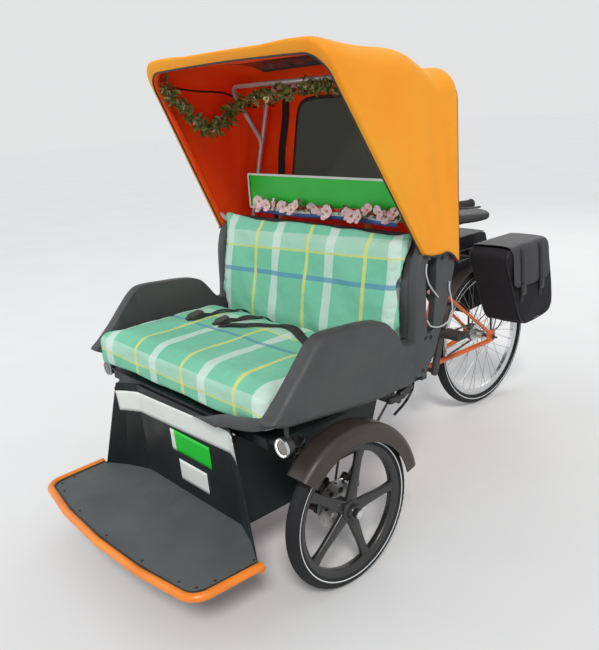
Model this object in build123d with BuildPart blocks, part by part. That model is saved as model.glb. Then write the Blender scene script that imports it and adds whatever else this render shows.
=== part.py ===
from build123d import *
import math
import os

os.makedirs("parts", exist_ok=True)

# Cycle rickshaw with a bench for two between two steered front wheels, a hood over it,
# and the rider behind, over one driven rear wheel.
# Millimetres. The front faces -Y, the vehicle's left side is +X, the floor is z = 0,
# and the origin is on the floor in the middle of the whole length.
# Distances along Y are given from the front axle, by the function at().

# Whole vehicle
column_y = 730.0
column_to_bracket = 240.0
chain_stay_length = 456.0
rear_tyre_r = 336.0
footplate_reach = 607.0
bracket_y = column_y + column_to_bracket
wheelbase = bracket_y + chain_stay_length
front_y = (footplate_reach - wheelbase - rear_tyre_r) / 2

# Clearances
seat_gap = 0.3
running_gap = 0.05
pivot_gap = 0.5

# Front wheels
front_tyre_r = 250.0
front_tyre_w = 48.0
front_tyre_h = 38.0
front_wheel_x = 510.0
front_rim_r = front_tyre_r - front_tyre_h
front_rim_w = 36.0
rim_depth = 20.0
spoke_count = 5
spoke_w_hub = 34.0
spoke_w_rim = 22.0
spoke_t = 18.0
spoke_root = 36.0
front_hub_r = 27.0
front_hub_in = 466.0
front_hub_out = 545.0
stub_r = 9.0
stub_end = 556.0
nut_r = 14.0
nut_t = 10.0
disc_r = 80.0
disc_t = 2.4
disc_x = 456.0
disc_slot_count = 12
disc_window_count = 6
disc_window_r = 10.0
disc_carrier_r = 24.0

# Steering
steer_arm = 80.0
kingpin_x = 405.0
kingpin_r = 8.0
sleeve_r = 16.0
sleeve_half = 50.0
sleeve_low = front_tyre_r - sleeve_half
sleeve_high = front_tyre_r + sleeve_half
ear_t = 12.0
ear_gap = 1.0
boss_r = 15.0
plate_in = 429.0
plate_t = 8.0
plate_r = 32.0
arm_drop = 20.0
arm_z = front_tyre_r - arm_drop
arm_t = 10.0
ball_pin_r = 5.0
tie_over_arm = 13.0
link_over_tie = 15.0
tie_z = arm_z + tie_over_arm
link_z = tie_z + link_over_tie
rod_r = 6.0
eye_r = 12.0
eye_t = 12.0
shaft_r = 12.0
head_tube_r = 19.0
head_tube_h = 395.0
caliper_y = 62.0
caliper_z = front_tyre_r + 50
caliper_w = 38.0
caliper_slot = 14.0

# Front mudguards
guard_over_tyre = 34.0
guard_r = front_tyre_r + guard_over_tyre
guard_in_x = 464.0
guard_out_x = 560.0
guard_out_depth = 55.0
guard_in_depth = 28.0
guard_out_r = guard_r - guard_out_depth
guard_in_r = guard_r - guard_in_depth
guard_bend = 24.0
guard_t = 2.5
guard_rear_angle = 13.0
guard_front_angle = 137.0
stay_rod_r = 4.0

# Suspension
arm_pivot_x = 150.0
arm_pivot_y = 85.0
arm_pivot_drop = 38.0
arm_pivot_z = front_tyre_r - arm_pivot_drop
arm_tube_r = 12.0
upright_x = 376.0
upright_w = 34.0
shock_x_low = 338.0
shock_y_low = -26.0
shock_x_high = 372.0
shock_y_high = -75.0
damper_r = 13.0
spring_r = 20.0
spring_wire_r = 4.0
spring_turns = 8

# Frame tubes
backbone_over_pivot = 100.0
backbone_z = arm_pivot_z + backbone_over_pivot
backbone_r = 25.0
backbone_front = -150.0
hanger_t = 10.0
rail_x = 230.0
rail_r = 15.0
pan_over_guard = 9.3
pan_z = front_tyre_r + guard_r + pan_over_guard
rail_z = pan_z - seat_gap - rail_r
rail_front = -205.0
cross_r = 14.0
post_y = 442.0
lug_t = 5.0
post_h = 622.0
post_top = rail_z + post_h
bracket_cross_h = 202.0
bracket_cross_z = rail_z + bracket_cross_h

# Rider's end
bracket_drop = 7.0
bracket_z = backbone_z - bracket_drop
head_tube_top = bracket_z + head_tube_h
bracket_shell_r = 21.0
bracket_shell_w = 70.0
crank_axle_r = 10.0
crank_length = 172.0
crank_angle = 17.0
crank_x = 84.0
crank_t = 14.0
chain_x = -52.0
chainring_r = 74.0
sprocket_r = 36.0
chain_h = 9.0
chain_w = 8.0
pedal_l = 100.0
pedal_w = 78.0
pedal_t = 24.0
dropout_x = 66.0
dropout_t = 6.0
dropout_h = 58.0
dropout_rise = 8 + dropout_h / 2
stay_r = 11.0
seat_stay_r = 8.0
seat_lean = 20.0
seat_tube_r = 17.0
seat_tube_length = 500.0
seat_post_r = 13.0
seat_post_length = 130.0
rear_axle_r = 5.0
rear_axle_half = 92.0
rear_tyre_h = 46.0
rear_rim_r = rear_tyre_r - rear_tyre_h
rear_rim_w = 28.0
rear_tyre_w = 47.0
hub_r = 26.0
hub_flange_r = 36.0
hub_half = 34.0
wire_count = 36
wire_r = 1.2
rear_guard_over_tyre = 16.0
rear_guard_r = rear_tyre_r + rear_guard_over_tyre
rear_guard_half = 31.0
rear_guard_from = 20.0
rear_guard_to = 160.0
carrier_over_guard = 54.0
carrier_z = rear_tyre_r + rear_guard_r + carrier_over_guard
carrier_half = 62.0
carrier_r = 5.0
carrier_ahead = 246.0
carrier_behind = 184.0
carrier_front = wheelbase - carrier_ahead
carrier_back = wheelbase + carrier_behind

# Bench
shell_out = 532.0
shell_t = 58.0
shell_edge = 14.0
pan_t = 12.0
pan_front = -236.0
pan_back = 395.0
back_shell_t = 26.0
back_shell_half = 484.0
back_shell_h = 502.0
back_shell_top = rail_z + back_shell_h
wing_reach = 70.0
leaf_in = 506.0
leaf_out = 532.0
seat_front = -272.0
seat_back = 262.0
seat_h = 146.7
seat_top = pan_z + pan_t + seat_gap + seat_h
cushion_half = 468.0
back_cushion_half = 455.0
sign_half = 395.0
sign_over_back = 32.0
sign_h = 138.0
sign_low = back_shell_top + sign_over_back
sign_t = 5.0

# Footplate
footplate_t = 6.0
foot_tube_r = 13.0
foot_tube_z = 200.0

# Hood
hood_t = 3.0
bow_r = 9.0
window_half = 300.0
window_low = rail_z + 562
window_high = rail_z + 942
window_corner = 50.0
window_t = 1.0


def at(x, y, z):
    """A point measured from the floor under the front axle."""
    return Vector(x, front_y + y, z)


def tube(points, radius, bend=0.0, mode=Mode.ADD):
    """Sweep a round bar through the points, with its corners rounded to the bend radius."""
    with BuildLine() as path:
        if bend > 0:
            FilletPolyline(*points, radius=bend)
        else:
            Polyline(*points)
    with BuildSketch(Plane(path.line @ 0, z_dir=path.line % 0)) as ring:
        Circle(radius)
    sweep(ring.sketch, path=path.line, mode=mode)


def rod_x(y, z, x_from, x_to, radius, mode=Mode.ADD):
    """A round bar along X, at a height z and a distance y behind the front axle."""
    with BuildSketch(Plane(at(x_from, y, z), x_dir=(0, 1, 0), z_dir=(1, 0, 0))) as ring:
        Circle(radius)
    extrude(ring.sketch, amount=x_to - x_from, mode=mode)


def rod_z(x, y, z_from, z_to, radius, mode=Mode.ADD):
    """A round upright bar."""
    with BuildSketch(Plane(at(x, y, z_from))) as ring:
        Circle(radius)
    extrude(ring.sketch, amount=z_to - z_from, mode=mode)


def side_plane(x, z=0.0, y=0.0):
    """A plane across X whose own axes are Y, from the front axle or a distance y behind it, and Z above z."""
    return Plane(at(x, y, z), x_dir=(0, 1, 0), z_dir=(1, 0, 0))


def floor_plane(z):
    """A level plane whose own Y is measured from the front axle."""
    return Plane(at(0, 0, z))


def axle_plane(y, z, angle=90.0):
    """A plane through an axle: its own axes are X and the way out at that angle above +Y."""
    turn = math.radians(angle)
    return Plane(at(0, y, z), x_dir=(1, 0, 0), z_dir=(0, -math.sin(turn), math.cos(turn)))


def save(part, name):
    """Label a piece and write its file."""
    part.label = name
    export_step(part, f"parts/{name}.step")


def save_pair(part, name):
    """Write the left piece, and its mirror image for the right side."""
    save(part, f"{name}_left")
    save(mirror(part, about=Plane.YZ, mode=Mode.PRIVATE), f"{name}_right")


def save_both(part, name):
    """Write a left piece and its mirror image into one file, as pieces of one body."""
    save(Compound([part, mirror(part, about=Plane.YZ, mode=Mode.PRIVATE)]), name)


# Front wheels: cast rim with five arms, tyre and brake disc
front_axle = Axis(at(0, 0, front_tyre_r), (1, 0, 0))

with BuildPart() as front_rim:
    with BuildSketch(axle_plane(0, front_tyre_r)) as rim_section:
        with Locations((front_wheel_x, front_rim_r)):
            Polygon(
                (-front_rim_w / 2, 0),
                (front_rim_w / 2, 0),
                (front_rim_w / 2, -rim_depth * 0.4),
                (front_rim_w / 3, -rim_depth),
                (-front_rim_w / 3, -rim_depth),
                (-front_rim_w / 2, -rim_depth * 0.4),
                align=None,
            )
    revolve(rim_section.sketch, axis=front_axle)
    with BuildSketch(side_plane(front_wheel_x - spoke_t / 2, front_tyre_r)) as arms:
        with PolarLocations(0, spoke_count):
            Polygon(
                (0, -spoke_w_hub / 2),
                (spoke_root, -spoke_w_rim / 2),
                (front_rim_r - rim_depth - spoke_root, -spoke_w_rim / 2),
                (front_rim_r - rim_depth / 2, -spoke_w_hub * 0.8),
                (front_rim_r - rim_depth / 2, spoke_w_hub * 0.8),
                (front_rim_r - rim_depth - spoke_root, spoke_w_rim / 2),
                (spoke_root, spoke_w_rim / 2),
                (0, spoke_w_hub / 2),
                align=None,
            )
        Circle(spoke_root * 1.2)
    extrude(arms.sketch, amount=spoke_t)
    rod_x(0, front_tyre_r, front_hub_in, front_hub_out, front_hub_r)
    rod_x(0, front_tyre_r, front_hub_in, front_hub_out, stub_r + running_gap, Mode.SUBTRACT)

with BuildPart() as front_tyre:
    with BuildSketch(axle_plane(0, front_tyre_r)) as tyre_section:
        with Locations((front_wheel_x, front_tyre_r - front_tyre_w / 2)):
            Circle(front_tyre_w / 2)
        with Locations((front_wheel_x, front_rim_r / 2)):
            Rectangle(front_tyre_w, front_rim_r + 2 * seat_gap, mode=Mode.SUBTRACT)
    revolve(tyre_section.sketch, axis=front_axle)

with BuildPart() as brake_disc:
    rod_x(0, front_tyre_r, disc_x - disc_t / 2, disc_x + disc_t / 2, disc_r)
    with BuildSketch(side_plane(disc_x - disc_t / 2)) as disc_holes:
        with Locations((0, front_tyre_r)):
            with PolarLocations(disc_r * 0.86, disc_slot_count):
                SlotOverall(18, 5, rotation=60)
            with PolarLocations(disc_r * 0.52, disc_window_count):
                Circle(disc_window_r)
    extrude(disc_holes.sketch, amount=disc_t, mode=Mode.SUBTRACT)
    rod_x(0, front_tyre_r, disc_x - disc_t / 2, front_hub_in, disc_carrier_r)
    rod_x(0, front_tyre_r, disc_x - disc_t / 2, front_hub_in, stub_r + pivot_gap, Mode.SUBTRACT)

save_pair(front_rim.part, "front_rim")
save_pair(front_tyre.part, "front_tyre")
save_pair(brake_disc.part, "brake_disc")

# Knuckle: kingpin sleeve, stub axle, straight steering arm and caliper bracket
with BuildPart() as knuckle:
    rod_z(kingpin_x, 0, sleeve_low, sleeve_high, sleeve_r)
    rod_z(kingpin_x, 0, sleeve_low - ear_t - ear_gap, sleeve_high + ear_t + ear_gap, kingpin_r)
    rod_x(0, front_tyre_r, kingpin_x, plate_in, boss_r)
    rod_x(0, front_tyre_r, plate_in, plate_in + plate_t, plate_r)
    rod_x(0, front_tyre_r, plate_in, stub_end, stub_r)
    with BuildSketch(side_plane(stub_end - nut_t)) as nut:
        with Locations((0, front_tyre_r)):
            RegularPolygon(nut_r, 6)
    extrude(nut.sketch, amount=nut_t)
    with BuildSketch(floor_plane(arm_z - arm_t / 2)) as steering_arm:
        with Locations((kingpin_x, steer_arm / 2)):
            Rectangle(eye_r * 2, steer_arm)
        with Locations((kingpin_x, steer_arm)):
            Circle(eye_r)
    extrude(steering_arm.sketch, amount=arm_t)
    rod_z(kingpin_x, steer_arm, arm_z, link_z + eye_t / 2 + 1, ball_pin_r)
    with BuildSketch(side_plane(plate_in)) as caliper_bracket:
        Polygon(
            (0, front_tyre_r + plate_r * 0.9),
            (caliper_y - 10, caliper_z + 12),
            (caliper_y + 12, caliper_z - 10),
            (plate_r * 0.9, front_tyre_r),
            align=None,
        )
    extrude(caliper_bracket.sketch, amount=plate_t)

with BuildPart() as caliper:
    with BuildSketch(side_plane(plate_in + plate_t)) as caliper_outline:
        with Locations(Location((caliper_y, caliper_z), -50)):
            RectangleRounded(56, 36, 10)
    extrude(caliper_outline.sketch, amount=caliper_w)
    with BuildSketch(side_plane(disc_x - caliper_slot / 2)) as caliper_mouth:
        with Locations((0, front_tyre_r)):
            Circle(disc_r + 5)
    extrude(caliper_mouth.sketch, amount=caliper_slot, mode=Mode.SUBTRACT)
    rod_x(0, front_tyre_r, disc_x, plate_in + plate_t + caliper_w, disc_r * 0.74, Mode.SUBTRACT)

save_pair(knuckle.part, "knuckle")
save_pair(caliper.part, "caliper")

# Front mudguard: one curved skin with deep side flanges, and two round stays
with BuildPart() as fender:
    with BuildSketch(axle_plane(0, front_tyre_r, guard_rear_angle)) as guard_section:
        with BuildLine():
            Polyline(
                (guard_in_x, guard_in_r),
                (guard_in_x, guard_r),
                (guard_out_x, guard_r),
                (guard_out_x, guard_out_r),
                (guard_out_x - guard_t, guard_out_r),
                (guard_out_x - guard_t, guard_r - guard_t),
                (guard_in_x + guard_t, guard_r - guard_t),
                (guard_in_x + guard_t, guard_in_r),
                (guard_in_x, guard_in_r),
            )
        make_face()
        fillet(guard_section.vertices().sort_by_distance((guard_in_x, guard_r, 0))[:1], guard_bend)
        fillet(guard_section.vertices().sort_by_distance((guard_out_x, guard_r, 0))[:1], guard_bend)
        fillet(
            guard_section.vertices().sort_by_distance((guard_in_x + guard_t, guard_r - guard_t, 0))[:1],
            guard_bend - guard_t,
        )
        fillet(
            guard_section.vertices().sort_by_distance((guard_out_x - guard_t, guard_r - guard_t, 0))[:1],
            guard_bend - guard_t,
        )
    revolve(
        guard_section.sketch,
        axis=front_axle,
        revolution_arc=guard_front_angle - guard_rear_angle,
    )
    for stay_angle in (80, 128):
        turn = math.radians(stay_angle)
        tube(
            [
                at(
                    plate_in + plate_t + stay_rod_r + seat_gap,
                    (plate_r - 8) * math.cos(turn),
                    front_tyre_r + (plate_r - 8) * math.sin(turn),
                ),
                at(
                    guard_in_x - stay_rod_r + 1,
                    (guard_in_r + 2) * math.cos(turn),
                    front_tyre_r + (guard_in_r + 2) * math.sin(turn),
                ),
                at(
                    guard_in_x - stay_rod_r + 1,
                    (guard_in_r + 14) * math.cos(turn),
                    front_tyre_r + (guard_in_r + 14) * math.sin(turn),
                ),
            ],
            stay_rod_r,
            8,
        )
save_pair(fender.part, "fender")

# Suspension arm: two tubes from a sleeve on the frame to an upright with the kingpin's ears
ear_low = sleeve_low - ear_gap - ear_t
ear_high = sleeve_high + ear_gap
shock_low_z = arm_pivot_z + arm_tube_r + 3 + seat_gap
shock_high_z = rail_z - cross_r - seat_gap

with BuildPart() as suspension_arm:
    for end in (-1, 1):
        tube(
            [
                at(arm_pivot_x, end * (arm_pivot_y - arm_tube_r - 3), arm_pivot_z),
                at(upright_x, end * 8, ear_low + 16),
            ],
            arm_tube_r,
        )
    tube(
        [
            at(arm_pivot_x, -arm_pivot_y + seat_gap, arm_pivot_z),
            at(arm_pivot_x, arm_pivot_y - seat_gap, arm_pivot_z),
        ],
        arm_tube_r + 4,
    )
    with BuildSketch(floor_plane(ear_low)) as upright_section:
        with Locations((upright_x - 6, 0)):
            Rectangle(14, upright_w)
    extrude(upright_section.sketch, amount=ear_high + ear_t - ear_low)
    for ear_z in (ear_low, ear_high):
        with BuildSketch(floor_plane(ear_z)) as ear:
            with Locations(((upright_x + kingpin_x) / 2, 0)):
                Rectangle(kingpin_x - upright_x, upright_w)
            with Locations((kingpin_x, 0)):
                Circle(upright_w / 2)
                Circle(kingpin_r + running_gap, mode=Mode.SUBTRACT)
        extrude(ear.sketch, amount=ear_t)
    rod_z(kingpin_x, 0, sleeve_low - ear_gap, sleeve_high + ear_gap, sleeve_r + 3, Mode.SUBTRACT)
    with BuildSketch(floor_plane(arm_pivot_z - arm_tube_r)) as shock_seat:
        with Locations((shock_x_low, shock_y_low)):
            Circle(damper_r + 3)
    extrude(shock_seat.sketch, amount=arm_tube_r * 2 + 3)
save_both(suspension_arm.part, "suspension_arms")

# Shock absorber: damper body with the turns of its spring around it
shock_foot = at(shock_x_low, shock_y_low, shock_low_z)
shock_head = at(shock_x_high, shock_y_high, shock_high_z)
shock_run = (shock_head - shock_foot).length
with BuildPart() as shock:
    with BuildSketch(Plane(shock_foot, x_dir=(1, 0, 0), z_dir=(0, -1, 0))) as shock_section:
        with Locations((damper_r / 2, shock_run / 2)):
            Rectangle(damper_r, shock_run + 20)
        for cup in (0.16, 0.92):
            with Locations(((spring_r + 4) / 2, shock_run * cup)):
                Rectangle(spring_r + 4, 6)
        for turn in range(spring_turns):
            with Locations((spring_r, shock_run * (0.2 + 0.68 * (turn + 0.5) / spring_turns))):
                Circle(spring_wire_r)
            with Locations((spring_r / 2, shock_run * (0.2 + 0.68 * (turn + 0.5) / spring_turns))):
                Rectangle(spring_r, spring_wire_r)
    revolve(shock_section.sketch, axis=Axis(shock_foot, (0, 0, 1)))
tilt = Plane(shock_foot, z_dir=shock_head - shock_foot)
upright_frame = Plane(shock_foot, z_dir=(0, 0, 1))
with BuildPart() as seated_shock:
    add(tilt.location * (upright_frame.location.inverse() * shock.part))
    for cut_z, cut_way in ((shock_low_z, -1), (shock_high_z, 1)):
        with BuildSketch(Plane((shock_foot + shock_head) * 0.5).offset(cut_z - (shock_low_z + shock_high_z) / 2)):
            Rectangle(120, 120)
        extrude(amount=cut_way * 40, mode=Mode.SUBTRACT)
save_both(seated_shock.part, "shocks")

# Main frame: backbone, hangers for the arms, head tube, seat tube, bracket shell and stays
lean = math.radians(seat_lean)
seat_tube_top = at(
    0,
    bracket_y + seat_tube_length * math.sin(lean),
    bracket_z + seat_tube_length * math.cos(lean),
)
stay_joint_y = bracket_y + 330 * math.sin(lean)
stay_joint_z = bracket_z + 330 * math.cos(lean)

with BuildPart() as main_frame:
    tube([at(0, backbone_front, backbone_z), at(0, bracket_y, backbone_z)], backbone_r)
    rod_x(bracket_y, bracket_z, -bracket_shell_w / 2, bracket_shell_w / 2, bracket_shell_r)
    tube([at(0, bracket_y, bracket_z), seat_tube_top], seat_tube_r)
    rod_z(0, column_y, backbone_z - backbone_r, head_tube_top, head_tube_r)
    tube(
        [at(0, column_y, backbone_z + 200), at(0, bracket_y + 60, bracket_z + 165)],
        backbone_r * 0.6,
    )
    for side in (-1, 1):
        tube(
            [
                at(side * 27, bracket_y, bracket_z),
                at(side * dropout_x, wheelbase - 30, rear_tyre_r - 14),
            ],
            stay_r,
        )
        tube(
            [
                at(side * 8, stay_joint_y - 10, stay_joint_z + 10),
                at(side * 46, stay_joint_y + 20, stay_joint_z - 6),
                at(side * dropout_x, wheelbase - 22, rear_tyre_r + 24),
            ],
            seat_stay_r,
            25,
        )
        with BuildSketch(side_plane(side * dropout_x - dropout_t / 2)) as dropout:
            with Locations((wheelbase - 12, rear_tyre_r + dropout_rise - dropout_h / 2)):
                RectangleRounded(62, dropout_h, 18)
        extrude(dropout.sketch, amount=dropout_t)
    for end in (-1, 1):
        hanger_y = end * (arm_pivot_y + hanger_t / 2)
        with BuildSketch(Plane(at(0, hanger_y + hanger_t / 2, 0), x_dir=(1, 0, 0), z_dir=(0, -1, 0))) as hanger:
            Polygon(
                (-arm_pivot_x - 22, arm_pivot_z - 18),
                (arm_pivot_x + 22, arm_pivot_z - 18),
                (arm_pivot_x + 22, arm_pivot_z + 18),
                (backbone_r + 20, backbone_z + 10),
                (-backbone_r - 20, backbone_z + 10),
                (-arm_pivot_x - 22, arm_pivot_z + 18),
                align=None,
            )
        extrude(hanger.sketch, amount=hanger_t)
    rod_x(bracket_y, bracket_z, -bracket_shell_w, bracket_shell_w,
          crank_axle_r + running_gap, Mode.SUBTRACT)
    rod_z(0, column_y, 0, head_tube_top, shaft_r + running_gap, Mode.SUBTRACT)
    tube(
        [at(0, bracket_y + 60 * math.sin(lean), bracket_z + 60 * math.cos(lean)), seat_tube_top],
        seat_post_r + seat_gap,
        mode=Mode.SUBTRACT,
    )
    rod_x(wheelbase, rear_tyre_r, -dropout_x - dropout_t, dropout_x + dropout_t,
          rear_axle_r + seat_gap, Mode.SUBTRACT)
save(main_frame.part, "main_frame")

# Bench frame: rails on struts, back posts and the cross tube that holds the hood brackets
def rail(side, radius, mode=Mode.ADD):
    """A bench rail that turns up into a back post."""
    corners = [(rail_front, rail_z), (post_y, rail_z), (post_y, post_top)]
    tube([at(side * rail_x, y, z) for y, z in corners], radius, 60, mode)


with BuildPart() as bench_frame:
    for side in (-1, 1):
        rail(side, rail_r)
        for strut_y in (-75.0, 300.0):
            tube([at(side * 22, strut_y, backbone_z + backbone_r + 4), at(side * rail_x, strut_y, rail_z)], 12)
    for strut_y in (-75.0, 300.0):
        with BuildSketch(floor_plane(backbone_z + backbone_r + seat_gap)) as foot:
            with Locations((0, strut_y)):
                Rectangle(84, 44)
        extrude(foot.sketch, amount=16)
    rod_x(shock_y_high, rail_z, -shock_x_high - 22, shock_x_high + 22, cross_r)
    rod_x(300, rail_z, -rail_x, rail_x, cross_r)
    rod_x(post_y, bracket_cross_z, -leaf_in + seat_gap, leaf_in - seat_gap, cross_r)
    for lug_x in (-leaf_in + seat_gap, leaf_in - seat_gap - lug_t):
        with BuildSketch(side_plane(lug_x)) as lug:
            with Locations((post_y - cross_r, bracket_cross_z)):
                RectangleRounded(4 * cross_r, 3 * cross_r, cross_r / 2)
        extrude(lug.sketch, amount=lug_t)
save(bench_frame.part, "bench_frame")

# Seat pan: moulded tray on the rails, with a lip turned down in front
pan_half = shell_out - shell_t - seat_gap
with BuildPart() as seat_pan:
    with BuildSketch(floor_plane(pan_z)) as pan_outline:
        with Locations((0, (pan_front + pan_back) / 2)):
            Rectangle(2 * pan_half, pan_back - pan_front)
        for side in (-1, 1):
            with Locations((side * rail_x, post_y)):
                Circle(rail_r + 60, mode=Mode.SUBTRACT)
    extrude(pan_outline.sketch, amount=pan_t)
    with BuildSketch(floor_plane(pan_z + pan_t)) as lip:
        with Locations((0, pan_front - 4)):
            Rectangle(2 * pan_half - 60, 8)
    extrude(lip.sketch, amount=-30)
save(seat_pan.part, "seat_pan")

# Seat sides: thick moulded arm rests with a rounded rim
wing_low_h = 180.0
side_corners = [
    # y, height above the rails, corner radius
    (-285, 98, 20),
    (-225, 77, 60),
    (-100, 62, 150),
    (110, 38, 150),
    (314, 36, 24),
    (325, 120, 50),
    (352, wing_low_h, 18),
    (300, wing_low_h, 30),
    (266, 194, 40),
    (200, 281, 50),
    (54, 298, 120),
    (-72, 306, 52),
]
with BuildPart() as seat_side:
    with BuildSketch(side_plane(shell_out - shell_t, rail_z)) as side_outline:
        with BuildLine():
            FilletPolyline(
                *[(y, z) for y, z, _ in side_corners],
                radius=[r for _, _, r in side_corners],
                close=True,
            )
        make_face()
    extrude(side_outline.sketch, amount=shell_t)
    rims = seat_side.faces().filter_by(Axis.X).sort_by(Axis.X)
    fillet(rims[-1].edges(), shell_edge)
    chamfer(rims[0].edges(), 3)
save_both(seat_side.part, "seat_sides")

# Seat back: upright moulded panel behind the back cushion, its ends turned forward into thick rounded wings
nose_edge = 12.0
nose_corners = [
    # y from the pan's back, height above the rails
    (-wing_reach, wing_low_h + seat_gap),
    (-wing_reach + 1, 276),
    (-wing_reach + 9, 356),
    (-wing_reach * 0.62, 436),
    (-29, 442),
    (-29, wing_low_h + seat_gap),
]
with BuildPart() as seat_back_shell:
    with BuildSketch(floor_plane(pan_z)) as back_plan:
        with Locations((0, pan_back + back_shell_t / 2)):
            Rectangle(2 * back_shell_half, back_shell_t)
    extrude(back_plan.sketch, amount=back_shell_top - pan_z)
    top_corners = seat_back_shell.edges().filter_by(Axis.Y).group_by(Axis.Z)[-1]
    fillet(top_corners, 60)
    for side, wing_x in ((-1, -back_shell_half), (1, back_cushion_half + 2)):
        with BuildSketch(side_plane(wing_x, rail_z, pan_back)) as wing:
            Polygon(
                (8, 196),
                (-wing_reach, wing_low_h + seat_gap),
                (-wing_reach + 1, 276),
                (-wing_reach + 9, 356),
                (-wing_reach * 0.5, 425),
                (-6, 478),
                (8, 478),
                align=None,
            )
        extrude(wing.sketch, amount=back_shell_half - back_cushion_half - 2)
        nose_x = side * (back_shell_half - 1)
        with BuildSketch(side_plane(nose_x, rail_z, pan_back)) as nose:
            Polygon(*nose_corners, align=None)
        extrude(nose.sketch, amount=side * (shell_out + 1 - back_shell_half))
    rims = seat_back_shell.faces().filter_by(Axis.X).sort_by(Axis.X)
    for rim in (rims[0], rims[-1]):
        fillet(rim.edges().sort_by(Axis.Y)[:4], nose_edge)
    for side in (-1, 1):
        rod_x(post_y, bracket_cross_z, side * leaf_in, 0, cross_r + seat_gap, Mode.SUBTRACT)
    for side in (-1, 1):
        rail(side, rail_r + seat_gap, Mode.SUBTRACT)
save(seat_back_shell.part, "seat_back_shell")

# Hood brackets: leaf plates at both ends of the seat back, hollowed towards its wings
leaf_edge = 3.0
leaf_corners = [
    # y, height above the rails, corner radius
    (332, 60, 4),
    (352, 57, 6),
    (381, 89, 30),
    (408, 123, 80),
    (445, 205, 120),
    (490, 306, 120),
    (518, 400, 14),
    (502, 434, 14),
    (470, 446, 20),
    (424, 444, 6),
    (419, 345, 60),
    (404, 226, 30),
    (398, 197, 8),
    (370, 194, 6),
    (369, 176, 3),
    (351, 174, 3),
    (327.5, 120, 50),
]
with BuildPart() as hood_bracket:
    with BuildSketch(side_plane(leaf_in, rail_z)) as leaf:
        with BuildLine():
            FilletPolyline(
                *[(y, z) for y, z, _ in leaf_corners],
                radius=[r for _, _, r in leaf_corners],
                close=True,
            )
        make_face()
    extrude(leaf.sketch, amount=leaf_out - leaf_in)
    outer_face = hood_bracket.faces().filter_by(Axis.X).sort_by(Axis.X)[-1]
    chamfer(outer_face.edges(), leaf_edge)
save_both(hood_bracket.part, "hood_brackets")

# Cushions
with BuildPart() as seat_cushion:
    with BuildSketch(floor_plane(pan_z + pan_t + seat_gap)) as seat_plan:
        with Locations((0, (seat_front + seat_back) / 2)):
            RectangleRounded(2 * cushion_half, seat_back - seat_front, 50)
    extrude(seat_plan.sketch, amount=seat_h)
    fillet(seat_cushion.faces().sort_by(Axis.Z)[-1].edges(), 40)
save(seat_cushion.part, "seat_cushion")

with BuildPart() as back_cushion:
    with BuildSketch(side_plane(-back_cushion_half)) as back_section:
        with BuildLine():
            Polyline(
                (seat_back + 2, pan_z + pan_t + 4),
                (pan_back - seat_gap, pan_z + pan_t + 4),
                (pan_back - seat_gap, back_shell_top + 12),
                (pan_back - 26, back_shell_top + 12),
                (seat_back + 2, seat_top - 12.3),
                (seat_back + 2, pan_z + pan_t + 4),
            )
        make_face()
    extrude(back_section.sketch, amount=2 * back_cushion_half)
save(back_cushion.part, "back_cushion")

# Board behind the seat back, blank
with BuildPart() as sign_board:
    with BuildSketch(floor_plane(sign_low)) as sign_foot:
        with Locations((0, post_y - rail_r - seat_gap - sign_t / 2)):
            Rectangle(2 * sign_half, sign_t)
    extrude(sign_foot.sketch, amount=sign_h)
save(sign_board.part, "sign_board")

# Hood: open arches joined into one thin skin, lowest and highest point of each arch
arches = [
    # low_y, low_h, high_y, high_h, low_half, high_half, heights above the rails
    (360, 452, 36, 1104, 541, 462),
    (400, 442, 300, 1078, 541, 460),
    (422, 440, 415, 1062, 541, 459),
    (464, 444, 526, 1002, 541, 458),
    (500, 425, 602, 1010, 541, 457),
    (530, 398, 640, 978, 541, 456),
]
arch_corner = 70.0


def arch(row, inset, below):
    """The face inside one arch: a trapezoid with round top corners, in its own tilted plane."""
    low_y, low_h, high_y, high_h, low_half, high_half = row
    rise = math.hypot(high_y - low_y, high_h - low_h)
    plane = Plane(
        at(0, low_y, rail_z + low_h),
        x_dir=(1, 0, 0),
        z_dir=(0, low_h - high_h, high_y - low_y),
    )
    with BuildSketch(plane) as face:
        Polygon(
            (-low_half + inset, -below),
            (low_half - inset, -below),
            (high_half - inset, rise - inset),
            (-high_half + inset, rise - inset),
            align=None,
        )
        fillet(face.vertices().group_by(Axis.Y)[-1], arch_corner)
    return face.sketch


def arch_point(row, side, height, inset):
    """A point beside an arch's leg, at a share of its height."""
    low_y, low_h, high_y, high_h, low_half, high_half = row
    x = low_half + (high_half - low_half) * height - inset
    return at(side * x, low_y + (high_y - low_y) * height, rail_z + low_h + (high_h - low_h) * height)


inner_arches = arches[:-1] + [tuple(v - (hood_t if i in (0, 2) else 0) for i, v in enumerate(arches[-1]))]
back_y, back_h, back_high_y, back_high_h = arches[-1][:4]
back_plane = Plane(
    at(0, back_y, rail_z + back_h),
    x_dir=(1, 0, 0),
    z_dir=(0, back_h - back_high_h, back_high_y - back_y),
)
back_slant = math.hypot(back_high_y - back_y, back_high_h - back_h) / (back_high_h - back_h)
window_middle = ((window_low + window_high) / 2 - rail_z - back_h) * back_slant
window_h = (window_high - window_low) * back_slant
with BuildPart() as hood_cloth:
    loft([arch(row, 0, 0) for row in arches], ruled=True)
    loft([arch(row, hood_t, 6) for row in inner_arches], ruled=True, mode=Mode.SUBTRACT)
    with BuildSketch(back_plane.offset(-20)) as window_opening:
        with Locations((0, window_middle)):
            RectangleRounded(2 * window_half, window_h, window_corner)
    extrude(window_opening.sketch, amount=40, mode=Mode.SUBTRACT)
save(hood_cloth.part, "hood_cloth")

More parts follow.
